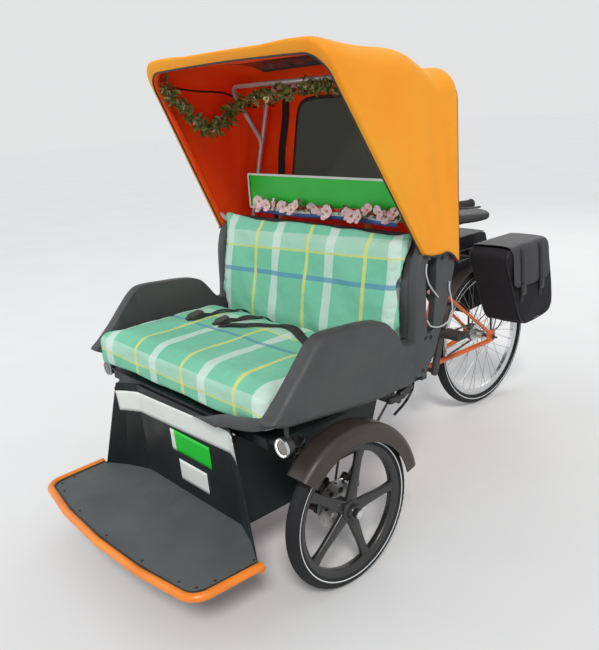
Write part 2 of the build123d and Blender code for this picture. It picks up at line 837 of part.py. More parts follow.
with BuildPart() as rear_window:
    with BuildSketch(back_plane.offset(hood_t / 2)) as pane:
        with Locations((0, window_middle)):
            RectangleRounded(
                2 * (window_half - seat_gap),
                window_h - 2 * seat_gap,
                window_corner - seat_gap,
            )
    extrude(pane.sketch, amount=window_t)
save(rear_window.part, "rear_window")

# Hood frame: a front bow, and a bow that leans forward from the posts and carries the rear bar
bow_gap = hood_t + bow_r + 2
bow_foot_x = leaf_in - bow_r - seat_gap
bow_root = [(440, 425), (400, 462)]
rear_bow = [(bow_foot_x, 492, 412), (468, 562, 782), (442, 402, 1002)]
rim_bow = [(468, 561, 772), (444, 600, 990)]
folding_stay = [(456, 81.4, 1037), (450, 272, 843), (448.5, 443, 947)]
stay_bar_r = 5.0
with BuildPart() as hood_frame:
    left_leg = [at(bow_foot_x, y, rail_z + h) for y, h in bow_root]
    left_leg += [arch_point(arches[0], 1, h, bow_gap) + Vector(0, 12, 0) for h in (0.12, 0.975)]
    right_leg = [Vector(-point.X, point.Y, point.Z) for point in left_leg]
    tube(left_leg + right_leg[::-1], bow_r, 60)
    for half_bow in (rear_bow, rim_bow):
        row = [at(x, y, rail_z + h) for x, y, h in half_bow]
        tube([at(-x, y, rail_z + h) for x, y, h in half_bow] + row[::-1], bow_r, 60)
    for side in (-1, 1):
        tube([at(side * x, y, rail_z + h) for x, y, h in folding_stay], stay_bar_r, 8)
save(hood_frame.part, "hood_frame")

# Footplate in its round tube, with arms back to the main frame
foot_front = footplate_reach - foot_tube_r
foot_corner_y = -548.0
foot_half = 464.0
foot_bar_r = 12.0
plate_z = foot_tube_z - 1
foot_bar_z = plate_z - seat_gap - foot_bar_r
with BuildPart() as footplate_tube:
    tube(
        [
            at(-foot_half - 12, -322, foot_tube_z),
            at(-foot_half, foot_corner_y, foot_tube_z),
            at(-foot_half / 2, -foot_front + 10, foot_tube_z),
            at(0, -foot_front, foot_tube_z),
            at(foot_half / 2, -foot_front + 10, foot_tube_z),
            at(foot_half, foot_corner_y, foot_tube_z),
            at(foot_half + 12, -322, foot_tube_z),
        ],
        foot_tube_r,
        60,
    )
    rod_x(-322, foot_bar_z, -foot_half - 12, foot_half + 12, foot_bar_r)
    for side in (-1, 1):
        tube(
            [
                at(side * 120, -322, foot_bar_z),
                at(side * 120, -190, foot_bar_z),
                at(side * 120, -140, arm_pivot_z),
                at(side * 120, -arm_pivot_y - hanger_t - seat_gap, arm_pivot_z),
            ],
            foot_bar_r,
            25,
        )
save(footplate_tube.part, "footplate_tube")

panel_t = 5.0
panel_foot = [(-450, -322), (-370, -276), (-270, -238), (270, -238), (370, -276), (450, -322)]
panel_head = [(-345, -292), (-316, -272), (-270, -252), (270, -252), (316, -272), (345, -292)]
with BuildPart() as footplate:
    with BuildSketch(floor_plane(plate_z)) as foot_outline:
        Polygon(
            (-foot_half + 2.5, -322),
            (-foot_half + 14.5, foot_corner_y + 14),
            (-foot_half / 2, -foot_front + 24),
            (0, -foot_front + 14),
            (foot_half / 2, -foot_front + 24),
            (foot_half - 14.5, foot_corner_y + 14),
            (foot_half - 2.5, -322),
            *[(x, y + panel_t) for x, y in reversed(panel_foot)],
            align=None,
        )
        fillet(foot_outline.vertices().sort_by_distance((foot_half, foot_corner_y, 0))[:1], 46)
        fillet(foot_outline.vertices().sort_by_distance((-foot_half, foot_corner_y, 0))[:1], 46)
    extrude(foot_outline.sketch, amount=footplate_t)
save(footplate.part, "footplate")

# Front panel: one skirt under the bench, its wings swung forward at the foot
panel_low = plate_z + footplate_t + seat_gap
panel_high = pan_z - seat_gap
with BuildPart() as front_panel:
    for height, line in ((panel_low, panel_foot), (panel_high, panel_head)):
        with BuildSketch(floor_plane(height)):
            Polygon(*line, *[(x, y + panel_t) for x, y in reversed(line)], align=None)
    loft(ruled=True)
save(front_panel.part, "front_panel")

# Upright walls under the bench, inside the front wheels, each of two plates
wall_x = 305.0
wall_t = 4.0
wall_low = arm_pivot_z + 10.5
wall_split = 46.0
with BuildPart() as side_walls:
    with BuildSketch(side_plane(wall_x)) as front_wall:
        Polygon(
            (-245.5, wall_low),
            (wall_split - 6, wall_low),
            (wall_split, wall_low + 16),
            (wall_split, panel_high),
            (pan_front + 2, panel_high),
            (pan_front + 2, pan_z + pan_t - 30 - seat_gap),
            (-255, pan_z + pan_t - 30 - seat_gap),
            align=None,
        )
        with Locations((shock_y_high, rail_z)):
            Circle(cross_r + seat_gap, mode=Mode.SUBTRACT)
    with BuildSketch(side_plane(wall_x)) as rear_wall:
        Polygon(
            (wall_split + seat_gap, tie_z + 38),
            (300, tie_z + 38),
            (380, rail_z - 40),
            (380, panel_high),
            (wall_split + seat_gap, panel_high),
            align=None,
        )
        with Locations((300, rail_z)):
            Circle(cross_r + seat_gap, mode=Mode.SUBTRACT)
    extrude(front_wall.sketch, amount=wall_t)
    extrude(rear_wall.sketch, amount=wall_t)
save_both(side_walls.part, "side_walls")

# Head lamps under the noses of the seat sides
lamp_x = 503.0
lamp_z = rail_z + 18
lamp_post_top = rail_z + 75.0
lamp_r = 25.0
with BuildPart() as headlamps:
    for side in (-1, 1):
        with BuildSketch(Plane(at(side * lamp_x, -200, lamp_z), x_dir=(1, 0, 0), z_dir=(0, -1, 0))) as ring:
            Circle(lamp_r)
        extrude(ring.sketch, amount=42, taper=-4)
        rod_z(side * lamp_x, -216, lamp_z, lamp_post_top, 7)
save(headlamps.part, "headlamps")

# Steering column: shaft, clamp for the bar, and an arm that moves the drag link
pitman_z = link_z + eye_t / 2 + 2
bar_over_head = 315.0
bar_z = head_tube_top + bar_over_head
bar_r = 11.0
grip_r = 16.0
bar_knee = (285.0, column_y + 60, bar_z + 35)
bar_tip = (300.0, column_y + 200, bar_z + 30)
with BuildPart() as steering_column:
    rod_z(0, column_y, pitman_z, bar_z - bar_r, shaft_r)
    rod_z(0, column_y, head_tube_top + ear_gap, head_tube_top + 22, head_tube_r + 2)
    with BuildSketch(floor_plane(pitman_z)) as pitman:
        with Locations((0, column_y + steer_arm / 2)):
            Rectangle(eye_r * 2, steer_arm)
        with Locations((0, column_y), (0, column_y + steer_arm)):
            Circle(eye_r + 2)
    extrude(pitman.sketch, amount=arm_t)
    rod_z(0, column_y + steer_arm, link_z - eye_t / 2 - 1, pitman_z, ball_pin_r)
    rod_x(column_y, bar_z, -24, 24, bar_r + 8)
    rod_x(column_y, bar_z, -24, 24, bar_r + running_gap, Mode.SUBTRACT)
save(steering_column.part, "steering_column")

with BuildPart() as handlebar:
    tube(
        [
            at(-bar_tip[0], bar_tip[1], bar_tip[2]),
            at(-bar_knee[0], bar_knee[1], bar_knee[2]),
            at(-170, column_y, bar_z),
            at(170, column_y, bar_z),
            at(*bar_knee),
            at(*bar_tip),
        ],
        bar_r,
        40,
    )
save(handlebar.part, "handlebar")

with BuildPart() as grips:
    for side in (-1, 1):
        knee = at(side * bar_knee[0], bar_knee[1], bar_knee[2])
        tip = at(side * bar_tip[0], bar_tip[1], bar_tip[2])
        tube([knee + (tip - knee) * 0.33, tip + (tip - knee) * 0.03], grip_r)
        tube([knee + (tip - knee) * 0.3, tip], bar_r + running_gap, mode=Mode.SUBTRACT)
save(grips.part, "grips")

# Brake levers: clamp ring, cylinder and a bent blade beside each grip
lever_r = 4.0
with BuildPart() as brake_levers:
    for side in (-1, 1):
        knee = at(side * bar_knee[0], bar_knee[1], bar_knee[2])
        tip = at(side * bar_tip[0], bar_tip[1], bar_tip[2])
        along = tip - knee
        tube([knee + along * 0.18, knee + along * 0.29], bar_r + 5)
        tube([knee + along * 0.1, knee + along * 0.4], bar_r + seat_gap, mode=Mode.SUBTRACT)
    for side in (-1, 1):
        knee = at(side * bar_knee[0], bar_knee[1], bar_knee[2])
        tip = at(side * bar_tip[0], bar_tip[1], bar_tip[2])
        along = tip - knee
        root = knee + along * 0.235 + Vector(side * (bar_r + 9), 0, -3)
        tube([root + Vector(0, -26, 0), root + Vector(0, 8, 0)], lever_r + 3)
        tube(
            [
                root + Vector(side * 2, 6, 0),
                root + Vector(side * 26, 34, -6),
                root + Vector(side * 24, 118, -12),
            ],
            lever_r,
            18,
        )
save(brake_levers.part, "brake_levers")

# Tie rod between the two steering arms, and drag link from the column to the left arm
with BuildPart() as tie_rod:
    rod_x(steer_arm, tie_z, -kingpin_x, kingpin_x, rod_r - 1)
    for side in (-1, 1):
        rod_z(side * kingpin_x, steer_arm, tie_z - eye_t / 2, tie_z + eye_t / 2, eye_r)
    for side in (-1, 1):
        rod_z(side * kingpin_x, steer_arm, 0, tie_z + eye_t, ball_pin_r + pivot_gap, Mode.SUBTRACT)
save(tie_rod.part, "tie_rod")

with BuildPart() as drag_link:
    link_ends = [(kingpin_x, steer_arm), (0, column_y + steer_arm)]
    tube([at(x, y, link_z) for x, y in link_ends], rod_r - 1)
    for x, y in link_ends:
        rod_z(x, y, link_z - eye_t / 2, link_z + eye_t / 2, eye_r)
    for x, y in link_ends:
        rod_z(x, y, 0, link_z + eye_t, ball_pin_r + pivot_gap, Mode.SUBTRACT)
save(drag_link.part, "drag_link")

# Crankset: axle, two arms with pedal spindles, and the chainring
spindle_r = 6.0
pedal_in = crank_x + crank_t / 2 + 5
pedal_out = pedal_in + pedal_l


def crank_tip(side):
    """Where the crank on one side ends: up and back on the left, down and forward on the right."""
    turn = math.radians(crank_angle)
    return (
        bracket_y + side * crank_length * math.sin(turn),
        bracket_z + side * crank_length * math.cos(turn),
    )


with BuildPart() as crankset:
    rod_x(bracket_y, bracket_z, -crank_x - crank_t / 2, crank_x + crank_t / 2, crank_axle_r)
    for side in (-1, 1):
        tip_y, tip_z = crank_tip(side)
        with BuildSketch(side_plane(side * crank_x - crank_t / 2)) as crank_arm:
            with Locations((bracket_y, bracket_z)):
                Circle(19)
            with Locations((tip_y, tip_z)):
                Circle(14)
            make_hull()
        extrude(crank_arm.sketch, amount=crank_t)
        rod_x(tip_y, tip_z, side * crank_x, side * (pedal_out + 2), spindle_r)
    with BuildSketch(side_plane(chain_x - 2)) as ring_plate:
        with Locations((bracket_y, bracket_z)):
            Circle(chainring_r)
            with PolarLocations(chainring_r * 0.58, 5):
                Circle(15, mode=Mode.SUBTRACT)
    extrude(ring_plate.sketch, amount=4)
save(crankset.part, "crankset")

for side, side_name in ((1, "left"), (-1, "right")):
    tip_y, tip_z = crank_tip(side)
    with BuildPart() as pedal:
        with BuildSketch(side_plane(side * (pedal_in + pedal_out) / 2 - pedal_l / 2)) as pedal_section:
            with Locations((tip_y, tip_z)):
                RectangleRounded(pedal_w, pedal_t, 8)
                Circle(spindle_r + running_gap, mode=Mode.SUBTRACT)
        extrude(pedal_section.sketch, amount=pedal_l)
    save(pedal.part, f"pedal_{side_name}")

# Chain: one loop round the chainring and the sprocket
def belt(grow, x, thickness, mode=Mode.ADD):
    """The space inside a belt round the chainring and the sprocket, larger by grow."""
    with BuildSketch(side_plane(x)) as face:
        with Locations((bracket_y, bracket_z)):
            Circle(chainring_r + grow)
        with Locations((wheelbase, rear_tyre_r)):
            Circle(sprocket_r + grow)
        make_hull()
    extrude(face.sketch, amount=thickness, mode=mode)


with BuildPart() as chain:
    belt(chain_h, chain_x - chain_w / 2, chain_w)
    belt(seat_gap, chain_x - chain_w / 2, chain_w, Mode.SUBTRACT)
save(chain.part, "chain")

# Rear wheel, made flat round its own axle and then stood up: rim, hub and wires, and tyre
with BuildPart() as wires:
    for side in (-1, 1):
        for slant in (-1, 1):
            turn = math.radians(10 * slant + 5 * side)
            hub_turn = turn + math.radians(62 * slant)
            tube(
                [
                    (hub_flange_r * 0.86 * math.cos(hub_turn), hub_flange_r * 0.86 * math.sin(hub_turn), side * 30),
                    ((rear_rim_r - 16) * math.cos(turn), (rear_rim_r - 16) * math.sin(turn), side * 3),
                ],
                wire_r,
            )

with BuildPart() as rear_rim_flat:
    with BuildSketch(Plane.XZ) as rear_rim_section:
        with Locations((rear_rim_r - 9, 0)):
            Rectangle(18, rear_rim_w)
        with Locations((hub_r / 2, (hub_half + chain_x - 3) / 2)):
            Rectangle(hub_r, hub_half - chain_x + 3)
        for flange_x in (-30, 30):
            with Locations((hub_flange_r / 2, flange_x)):
                Rectangle(hub_flange_r, 4)
        with Locations((sprocket_r / 2, chain_x)):
            Rectangle(sprocket_r, 3)
    revolve(rear_rim_section.sketch, axis=Axis.Z)
    with PolarLocations(0, wire_count // 4):
        add(wires.part)
    with BuildSketch(Plane.XY.offset(-100)) as rear_bore:
        Circle(rear_axle_r + running_gap)
    extrude(rear_bore.sketch, amount=200, mode=Mode.SUBTRACT)

with BuildPart() as rear_tyre_flat:
    with BuildSketch(Plane.XZ) as rear_tyre_section:
        with Locations((rear_tyre_r - rear_tyre_w / 2, 0)):
            Circle(rear_tyre_w / 2)
        with Locations((rear_rim_r / 2, 0)):
            Rectangle(rear_rim_r + 2 * seat_gap, rear_tyre_w, mode=Mode.SUBTRACT)
    revolve(rear_tyre_section.sketch, axis=Axis.Z)

rear_spot = Plane(at(0, wheelbase, rear_tyre_r), x_dir=(0, 1, 0), z_dir=(1, 0, 0)).location
save(rear_spot * rear_rim_flat.part, "rear_rim")
save(rear_spot * rear_tyre_flat.part, "rear_tyre")

with BuildPart() as rear_axle:
    rod_x(wheelbase, rear_tyre_r, -rear_axle_half, rear_axle_half, rear_axle_r)
    axle_face = dropout_x - dropout_t / 2 - seat_gap
    for x_from, x_to in ((-axle_face, chain_x - 4), (hub_half + 1, axle_face)):
        rod_x(wheelbase, rear_tyre_r, x_from, x_to, 9)
    for side in (-1, 1):
        nut_x = side * (dropout_x + dropout_t / 2 + seat_gap + 4) - 4
        with BuildSketch(side_plane(nut_x)) as axle_nut:
            with Locations((wheelbase, rear_tyre_r)):
                RegularPolygon(11, 6)
        extrude(axle_nut.sketch, amount=8)
save(rear_axle.part, "rear_axle")

# Rear mudguard with two wire stays a side
guard_stay_r = 2.5
guard_stay_x = dropout_x - dropout_t / 2 - seat_gap - guard_stay_r
with BuildPart() as rear_fender:
    with BuildSketch(axle_plane(wheelbase, rear_tyre_r, rear_guard_from)) as rear_guard_section:
        with BuildLine():
            Polyline(
                (-rear_guard_half, rear_guard_r - 20),
                (-rear_guard_half, rear_guard_r - 6),
                (-rear_guard_half + 12, rear_guard_r),
                (rear_guard_half - 12, rear_guard_r),
                (rear_guard_half, rear_guard_r - 6),
                (rear_guard_half, rear_guard_r - 20),
                (rear_guard_half - 2, rear_guard_r - 20),
                (rear_guard_half - 2, rear_guard_r - 7),
                (rear_guard_half - 12, rear_guard_r - 2),
                (-rear_guard_half + 12, rear_guard_r - 2),
                (-rear_guard_half + 2, rear_guard_r - 7),
                (-rear_guard_half + 2, rear_guard_r - 20),
                (-rear_guard_half, rear_guard_r - 20),
            )
        make_face()
    revolve(
        rear_guard_section.sketch,
        axis=Axis(at(0, wheelbase, rear_tyre_r), (1, 0, 0)),
        revolution_arc=rear_guard_to - rear_guard_from,
    )
    for side in (-1, 1):
        for stay_angle in (28, 62):
            turn = math.radians(stay_angle)
            tube(
                [
                    at(
                        side * (rear_guard_half - 1),
                        wheelbase + (rear_guard_r - 14) * math.cos(turn),
                        rear_tyre_r + (rear_guard_r - 14) * math.sin(turn),
                    ),
                    at(side * guard_stay_x, wheelbase + 62 * math.cos(turn), rear_tyre_r + 62 * math.sin(turn)),
                    at(side * guard_stay_x, wheelbase + 10, rear_tyre_r + 24),
                ],
                guard_stay_r,
            )
save(rear_fender.part, "rear_fender")

# Carrier: tube loop with cross bars, legs to the dropouts and a clamp on the seat tube
clamp_run = 430.0
clamp_spot = at(0, bracket_y + clamp_run * math.sin(lean), bracket_z + clamp_run * math.cos(lean))
with BuildPart() as carrier:
    tube(
        [
            at(-carrier_half, carrier_front, carrier_z),
            at(-carrier_half, carrier_back, carrier_z),
            at(carrier_half, carrier_back, carrier_z),
            at(carrier_half, carrier_front, carrier_z),
        ],
        carrier_r,
        25,
    )
    for bar_y in (carrier_front + 6, wheelbase - 136, wheelbase - 26, wheelbase + 84):
        rod_x(bar_y, carrier_z, -carrier_half, carrier_half, 4)
    for side in (-1, 1):
        rod_z(side * carrier_half, wheelbase - 6, rear_tyre_r + dropout_rise + seat_gap, carrier_z, carrier_r)
    tube([at(0, carrier_front + 6, carrier_z), clamp_spot + Vector(0, seat_tube_r + 6, 6)], carrier_r)
    with BuildSketch(Plane(clamp_spot, z_dir=seat_tube_top - clamp_spot)) as clamp:
        Circle(seat_tube_r + 7)
    extrude(clamp.sketch, amount=16, both=True)
    with BuildSketch(Plane(clamp_spot, z_dir=seat_tube_top - clamp_spot)) as clamp_bore:
        Circle(seat_tube_r + seat_gap)
    extrude(clamp_bore.sketch, amount=30, both=True, mode=Mode.SUBTRACT)
save(carrier.part, "carrier")

# Bags on both sides of the carrier
bag_in = carrier_half + carrier_r + seat_gap
bag_w = 190.0
bag_corners = [
    # y behind the rear axle, height above the carrier, corner radius
    (-188, 8, 12),
    (-176, 58, 22),
    (136, 58, 24),
    (166, 26, 24),
    (197, -242, 30),
    (156, -296, 40),
    (-26, -308, 40),
    (-78, -270, 30),
]
with BuildPart() as panniers:
    for side in (-1, 1):
        with BuildSketch(side_plane(side * bag_in, carrier_z, wheelbase)) as bag_side:
            with BuildLine():
                FilletPolyline(
                    *[(y, z) for y, z, _ in bag_corners],
                    radius=[r for _, _, r in bag_corners],
                    close=True,
                )
            make_face()
        extrude(bag_side.sketch, amount=side * bag_w)
save(panniers.part, "panniers")

# Seat post with the saddle's rails, and the saddle
post_top_run = seat_tube_length + seat_post_length
post_head = at(0, bracket_y + post_top_run * math.sin(lean), bracket_z + post_top_run * math.cos(lean))
post_foot = at(
    0, bracket_y + (post_top_run - 250) * math.sin(lean), bracket_z + (post_top_run - 250) * math.cos(lean)
)
with BuildPart() as seat_post:
    tube([post_foot, post_head], seat_post_r)
    with BuildSketch(Plane(post_head + Vector(0, 0, -12))) as head:
        Rectangle(56, 40)
    extrude(head.sketch, amount=18)
    for side in (-1, 1):
        tube(
            [post_head + Vector(side * 22, -35, 0), post_head + Vector(side * 22, 150, 0)],
            4,
        )
save(seat_post.part, "seat_post")

saddle_low = post_head.Z + 6 + seat_gap
with BuildPart() as saddle:
    with BuildSketch(Plane(Vector(0, post_head.Y, saddle_low))) as saddle_plan:
        with Locations((0, -62)):
            Circle(22)
        with Locations((-48, 148), (48, 148)):
            Circle(50)
        make_hull()
    extrude(saddle_plan.sketch, amount=44)
    fillet(saddle.faces().sort_by(Axis.Z)[-1].edges(), 16)
save(saddle.part, "saddle")

# Lap belts lying on the seat cushion, each strap with its buckle
belt_w = 26.0
belt_t = 2.0
belts = [
    # x_from, y_from, x_to, y_to of the strap, then the buckle's half length, or 0 for none
    (-215, 225, -300, 62, 27),
    (-90, 225, -150, 84, 24),
    (-52, 176, 420, 40, 0),
]
with BuildPart() as seat_belts:
    for x_from, y_from, x_to, y_to, buckle in belts:
        run = math.hypot(x_to - x_from, y_to - y_from)
        turn = math.degrees(math.atan2(y_to - y_from, x_to - x_from))
        with BuildSketch(floor_plane(seat_top + seat_gap)) as strap:
            with Locations(Location(((x_from + x_to) / 2, (y_from + y_to) / 2), turn)):
                Rectangle(run, belt_w)
        extrude(strap.sketch, amount=belt_t)
        if buckle:
            with BuildSketch(floor_plane(seat_top + seat_gap)) as buckle_outline:
                with Locations(Location((x_to, y_to), turn)):
                    RectangleRounded(2 * buckle, belt_w + 12, 7)
            extrude(buckle_outline.sketch, amount=13)
save(seat_belts.part, "seat_belts")

# Grey cables along the left hood bracket, from where they are held to where they are held
cable_r = 2.6
cable_x = leaf_out + cable_r + seat_gap
cable_routes = [
    # y and height above the rails of each point
    [(369, 424), (363, 399), (374, 362), (391, 339), (423, 305)],
    [(366, 240), (380, 218), (412, 206), (445, 203), (480, 212), (499, 242), (492, 282), (480, 318), (482, 345)],
]


def cable_radii(points):
    """The largest arc at each corner that its two runs leave room for."""
    radii = []
    for before, corner, after in zip(points, points[1:], points[2:]):
        turn = math.radians((corner - before).get_angle(after - corner))
        shorter = min((corner - before).length, (after - corner).length)
        radii.append(0.45 * shorter / math.tan(turn / 2))
    return radii


with BuildPart() as bracket_cables:
    for route in cable_routes:
        points = [at(cable_x, y, rail_z + h) for y, h in route]
        radii = cable_radii(points)
        print("cable arcs", [round(r, 1) for r in radii])
        with BuildLine() as cable_path:
            FilletPolyline(*points, radius=radii)
        with BuildSketch(Plane(cable_path.line @ 0, z_dir=cable_path.line % 0)) as cable_ring:
            Circle(cable_r)
        sweep(cable_ring.sketch, path=cable_path.line)
save(bracket_cables.part, "bracket_cables")
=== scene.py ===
import bmesh
import bpy
import math
from collections import namedtuple

import numpy as np
from mathutils import Matrix, Vector


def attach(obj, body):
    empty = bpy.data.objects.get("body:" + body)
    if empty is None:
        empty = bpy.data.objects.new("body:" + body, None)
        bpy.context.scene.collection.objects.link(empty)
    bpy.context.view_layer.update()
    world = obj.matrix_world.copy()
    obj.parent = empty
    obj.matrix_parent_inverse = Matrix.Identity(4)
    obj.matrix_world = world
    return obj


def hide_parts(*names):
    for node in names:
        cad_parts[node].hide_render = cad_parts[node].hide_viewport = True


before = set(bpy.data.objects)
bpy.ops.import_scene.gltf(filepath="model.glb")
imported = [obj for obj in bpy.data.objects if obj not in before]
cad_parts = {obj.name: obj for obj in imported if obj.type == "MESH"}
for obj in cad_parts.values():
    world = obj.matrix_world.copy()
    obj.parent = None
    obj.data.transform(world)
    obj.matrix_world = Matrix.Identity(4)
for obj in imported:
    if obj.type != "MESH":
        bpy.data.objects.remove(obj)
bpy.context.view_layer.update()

# Metres. Tables give Y from the front axle, as the part's source does; FRONT is where that axle is.
FRONT = -0.5775
WHEELBASE = 1.426
FRONT_R, REAR_R = 0.250, 0.336
CRANK_Y, CRANK_Z, CHAIN_X = 0.970, 0.305, -0.052
PAN_TOP, BAG_Z = 0.5435, 0.742
SIDES = ((1, "left"), (-1, "right"))
ACROSS = (1, 0.01, 0.02)
Part = namedtuple("Part", "points faces uv slot")


# Camera, floor and light.


def set_camera():
    """The photograph's camera: place, azimuth, elevation and roll, with its focal length and its shift in pixels
    of the picture's longer side."""
    side_px, focal_px, shift_px = 650, 732.0, (2.0, -12.8)
    place = Vector((1.943, -1.385 + FRONT, 1.470))
    azimuth, elevation, roll = (math.radians(a) for a in (49.27, 16.24, -4.02))
    level = math.cos(elevation)
    back = Vector((math.sin(azimuth) * level, -math.cos(azimuth) * level, math.sin(elevation)))
    right = (-back).cross(Vector((0, 0, 1))).normalized()
    up = right.cross(-back)
    x = right * math.cos(roll) + up * math.sin(roll)
    y = up * math.cos(roll) - right * math.sin(roll)
    data = bpy.data.cameras.new("photo_camera")
    data.sensor_width = 36
    data.lens = focal_px / side_px * data.sensor_width
    data.shift_x, data.shift_y = (px / side_px for px in shift_px)
    data.clip_start, data.clip_end = 0.05, 200
    camera = bpy.data.objects.new("photo_camera", data)
    camera.matrix_world = Matrix([(x[i], y[i], back[i], place[i]) for i in range(3)] + [(0, 0, 0, 1)])
    bpy.context.scene.collection.objects.link(camera)
    bpy.context.scene.camera = camera


def set_light():
    """A pale world, a soft distant key light ahead on the left, two wide lamps, and a pale floor."""
    bpy.context.scene.view_settings.view_transform = "Standard"
    world = bpy.data.worlds.new("studio")
    bpy.context.scene.world = world
    world.use_nodes = True
    tree = world.node_tree
    tree.nodes.clear()
    out = tree.nodes.new("ShaderNodeOutputWorld")
    mix = tree.nodes.new("ShaderNodeMixShader")
    light, seen = (tree.nodes.new("ShaderNodeBackground") for _ in range(2))
    for node, colour, strength in ((light, (0.93, 0.96, 1.0, 1), 0.62), (seen, (0.765, 0.770, 0.775, 1), 1.0)):
        node.inputs["Color"].default_value = colour
        node.inputs["Strength"].default_value = strength
    ray = tree.nodes.new("ShaderNodeLightPath").outputs
    direct = math_node(tree, "MAXIMUM", ray["Is Camera Ray"], ray["Is Glossy Ray"])
    direct = math_node(tree, "MAXIMUM", direct, ray["Is Transmission Ray"])
    for socket, source in zip(mix.inputs, (direct, light.outputs[0], seen.outputs[0])):
        tree.links.new(source, socket)
    tree.links.new(mix.outputs[0], out.inputs[0])
    lamps = [
        # name, kind, place, size or angle, power, colour
        ("key", "SUN", (3.4, -3.0, 5.0), 0.24, 1.95, (1.0, 0.97, 0.92)),
        ("fill", "AREA", (-3.4, -3.6, 2.6), 3.5, 34, (0.9, 0.95, 1.0)),
        ("back", "AREA", (-1.5, 4.5, 4.0), 3.0, 45, (1.0, 0.98, 0.95)),
    ]
    for name, kind, place, size, power, colour in lamps:
        data = bpy.data.lights.new(name, kind)
        data.energy, data.color = power, colour
        if kind == "SUN":
            data.angle = size
        else:
            data.size = size
        lamp = bpy.data.objects.new(name, data)
        lamp.location = place
        lamp.rotation_mode = "QUATERNION"
        lamp.rotation_quaternion = (Vector((0, -0.2, 0.7)) - Vector(place)).to_track_quat("-Z", "Y")
        bpy.context.scene.collection.objects.link(lamp)
    mesh = bpy.data.meshes.new("floor")
    reach = 30
    corners = [(-reach, -reach, 0), (reach, -reach, 0), (reach, reach, 0), (-reach, reach, 0)]
    mesh.from_pydata(corners, [], [(0, 1, 2, 3)])
    floor = bpy.data.objects.new("floor", mesh)
    mesh.materials.append(finish("pale floor", (0.74, 0.745, 0.75), 0.85, mottle=((0.70, 0.705, 0.71), 2.0, 0.5)))
    bpy.context.scene.collection.objects.link(floor)


# Finishes.


def tone(red, green, blue):
    """A colour given as 0 to 255 screen values, as the linear values that a shader takes."""
    v = np.array([red, green, blue]) / 255
    return tuple(np.where(v <= 0.04045, v / 12.92, ((v + 0.055) / 1.055) ** 2.4))


def math_node(tree, operation, a, b):
    """One Math node. Each side is a number or another node's output."""
    node = tree.nodes.new("ShaderNodeMath")
    node.operation = operation
    for socket, value in zip(node.inputs, (a, b)):
        if isinstance(value, (int, float)):
            socket.default_value = value
        else:
            tree.links.new(value, socket)
    return node.outputs[0]


def noise(tree, place, scale, detail=3.0, stretch=None):
    """Noise of that scale at a place, which may be stretched along an axis first."""
    node = tree.nodes.new("ShaderNodeTexNoise")
    node.inputs["Scale"].default_value = scale
    node.inputs["Detail"].default_value = detail
    if stretch:
        mapping = tree.nodes.new("ShaderNodeMapping")
        mapping.inputs["Scale"].default_value = stretch
        tree.links.new(place, mapping.inputs["Vector"])
        place = mapping.outputs[0]
    tree.links.new(place, node.inputs["Vector"])
    return node.outputs["Fac"]


def between(tree, value, low, high, to_low=0.0, to_high=1.0):
    """A value carried from one range to another, held at its ends."""
    node = tree.nodes.new("ShaderNodeMapRange")
    for name, number in zip(("From Min", "From Max", "To Min", "To Max"), (low, high, to_low, to_high)):
        node.inputs[name].default_value = number
    tree.links.new(value, node.inputs["Value"])
    return node.outputs[0]


def blended(tree, share, first, second):
    """Two colours mixed by a share. A colour is three numbers or another node's output."""
    node = tree.nodes.new("ShaderNodeMix")
    node.data_type = "RGBA"
    if isinstance(share, (int, float)):
        node.inputs[0].default_value = share
    else:
        tree.links.new(share, node.inputs[0])
    for socket, colour in ((node.inputs[6], first), (node.inputs[7], second)):
        if isinstance(colour, tuple):
            socket.default_value = (*colour, 1)
        else:
            tree.links.new(colour, socket)
    return node.outputs[2]


def relief(tree, shader, height, distance, strength=1.0):
    """Adds a layer of relief under the shader's normal, on top of the layers already there."""
    bump = tree.nodes.new("ShaderNodeBump")
    bump.inputs["Distance"].default_value = distance
    bump.inputs["Strength"].default_value = strength
    tree.links.new(height, bump.inputs["Height"])
    if shader.inputs["Normal"].is_linked:
        tree.links.new(shader.inputs["Normal"].links[0].from_socket, bump.inputs["Normal"])
    tree.links.new(bump.outputs[0], shader.inputs["Normal"])


def finish(name, colour, rough, mottle=None, uneven=None, grains=(), dust=None, **sockets):
    """A finish: a colour mottled with a second one by broad noise, dust that gathers low down,
    gloss made uneven by finer noise, and grains, each a noise scale with the depth of its relief."""
    material = bpy.data.materials.new(name)
    material.use_nodes = True
    tree = material.node_tree
    shader = tree.nodes["Principled BSDF"]
    place = tree.nodes.new("ShaderNodeTexCoord").outputs["Object"]
    shader.inputs["Base Color"].default_value = (*colour, 1)
    shader.inputs["Roughness"].default_value = rough
    for socket, value in sockets.items():
        shader.inputs[socket.replace("_", " ")].default_value = value
    if mottle:
        second, scale, share = mottle
        cloud = between(tree, noise(tree, place, scale), 0.35, 0.7, 0.0, share)
        tree.links.new(blended(tree, cloud, colour, second), shader.inputs["Base Color"])
    if dust:
        pale, top, share = dust
        split = tree.nodes.new("ShaderNodeSeparateXYZ")
        tree.links.new(place, split.inputs[0])
        low = between(tree, split.outputs[2], top, 0.0)
        patches = between(tree, noise(tree, place, 9, 6), 0.3, 0.75, 0.0, share)
        under = shader.inputs["Base Color"]
        base = under.links[0].from_socket if under.is_linked else colour
        tree.links.new(blended(tree, math_node(tree, "MULTIPLY", low, patches), base, pale), under)
    if uneven:
        scale, low, high = uneven
        tree.links.new(between(tree, noise(tree, place, scale, 5), 0.3, 0.7, low, high), shader.inputs["Roughness"])
    for scale, depth in grains:
        relief(tree, shader, noise(tree, place, scale, 4), depth)
    return material


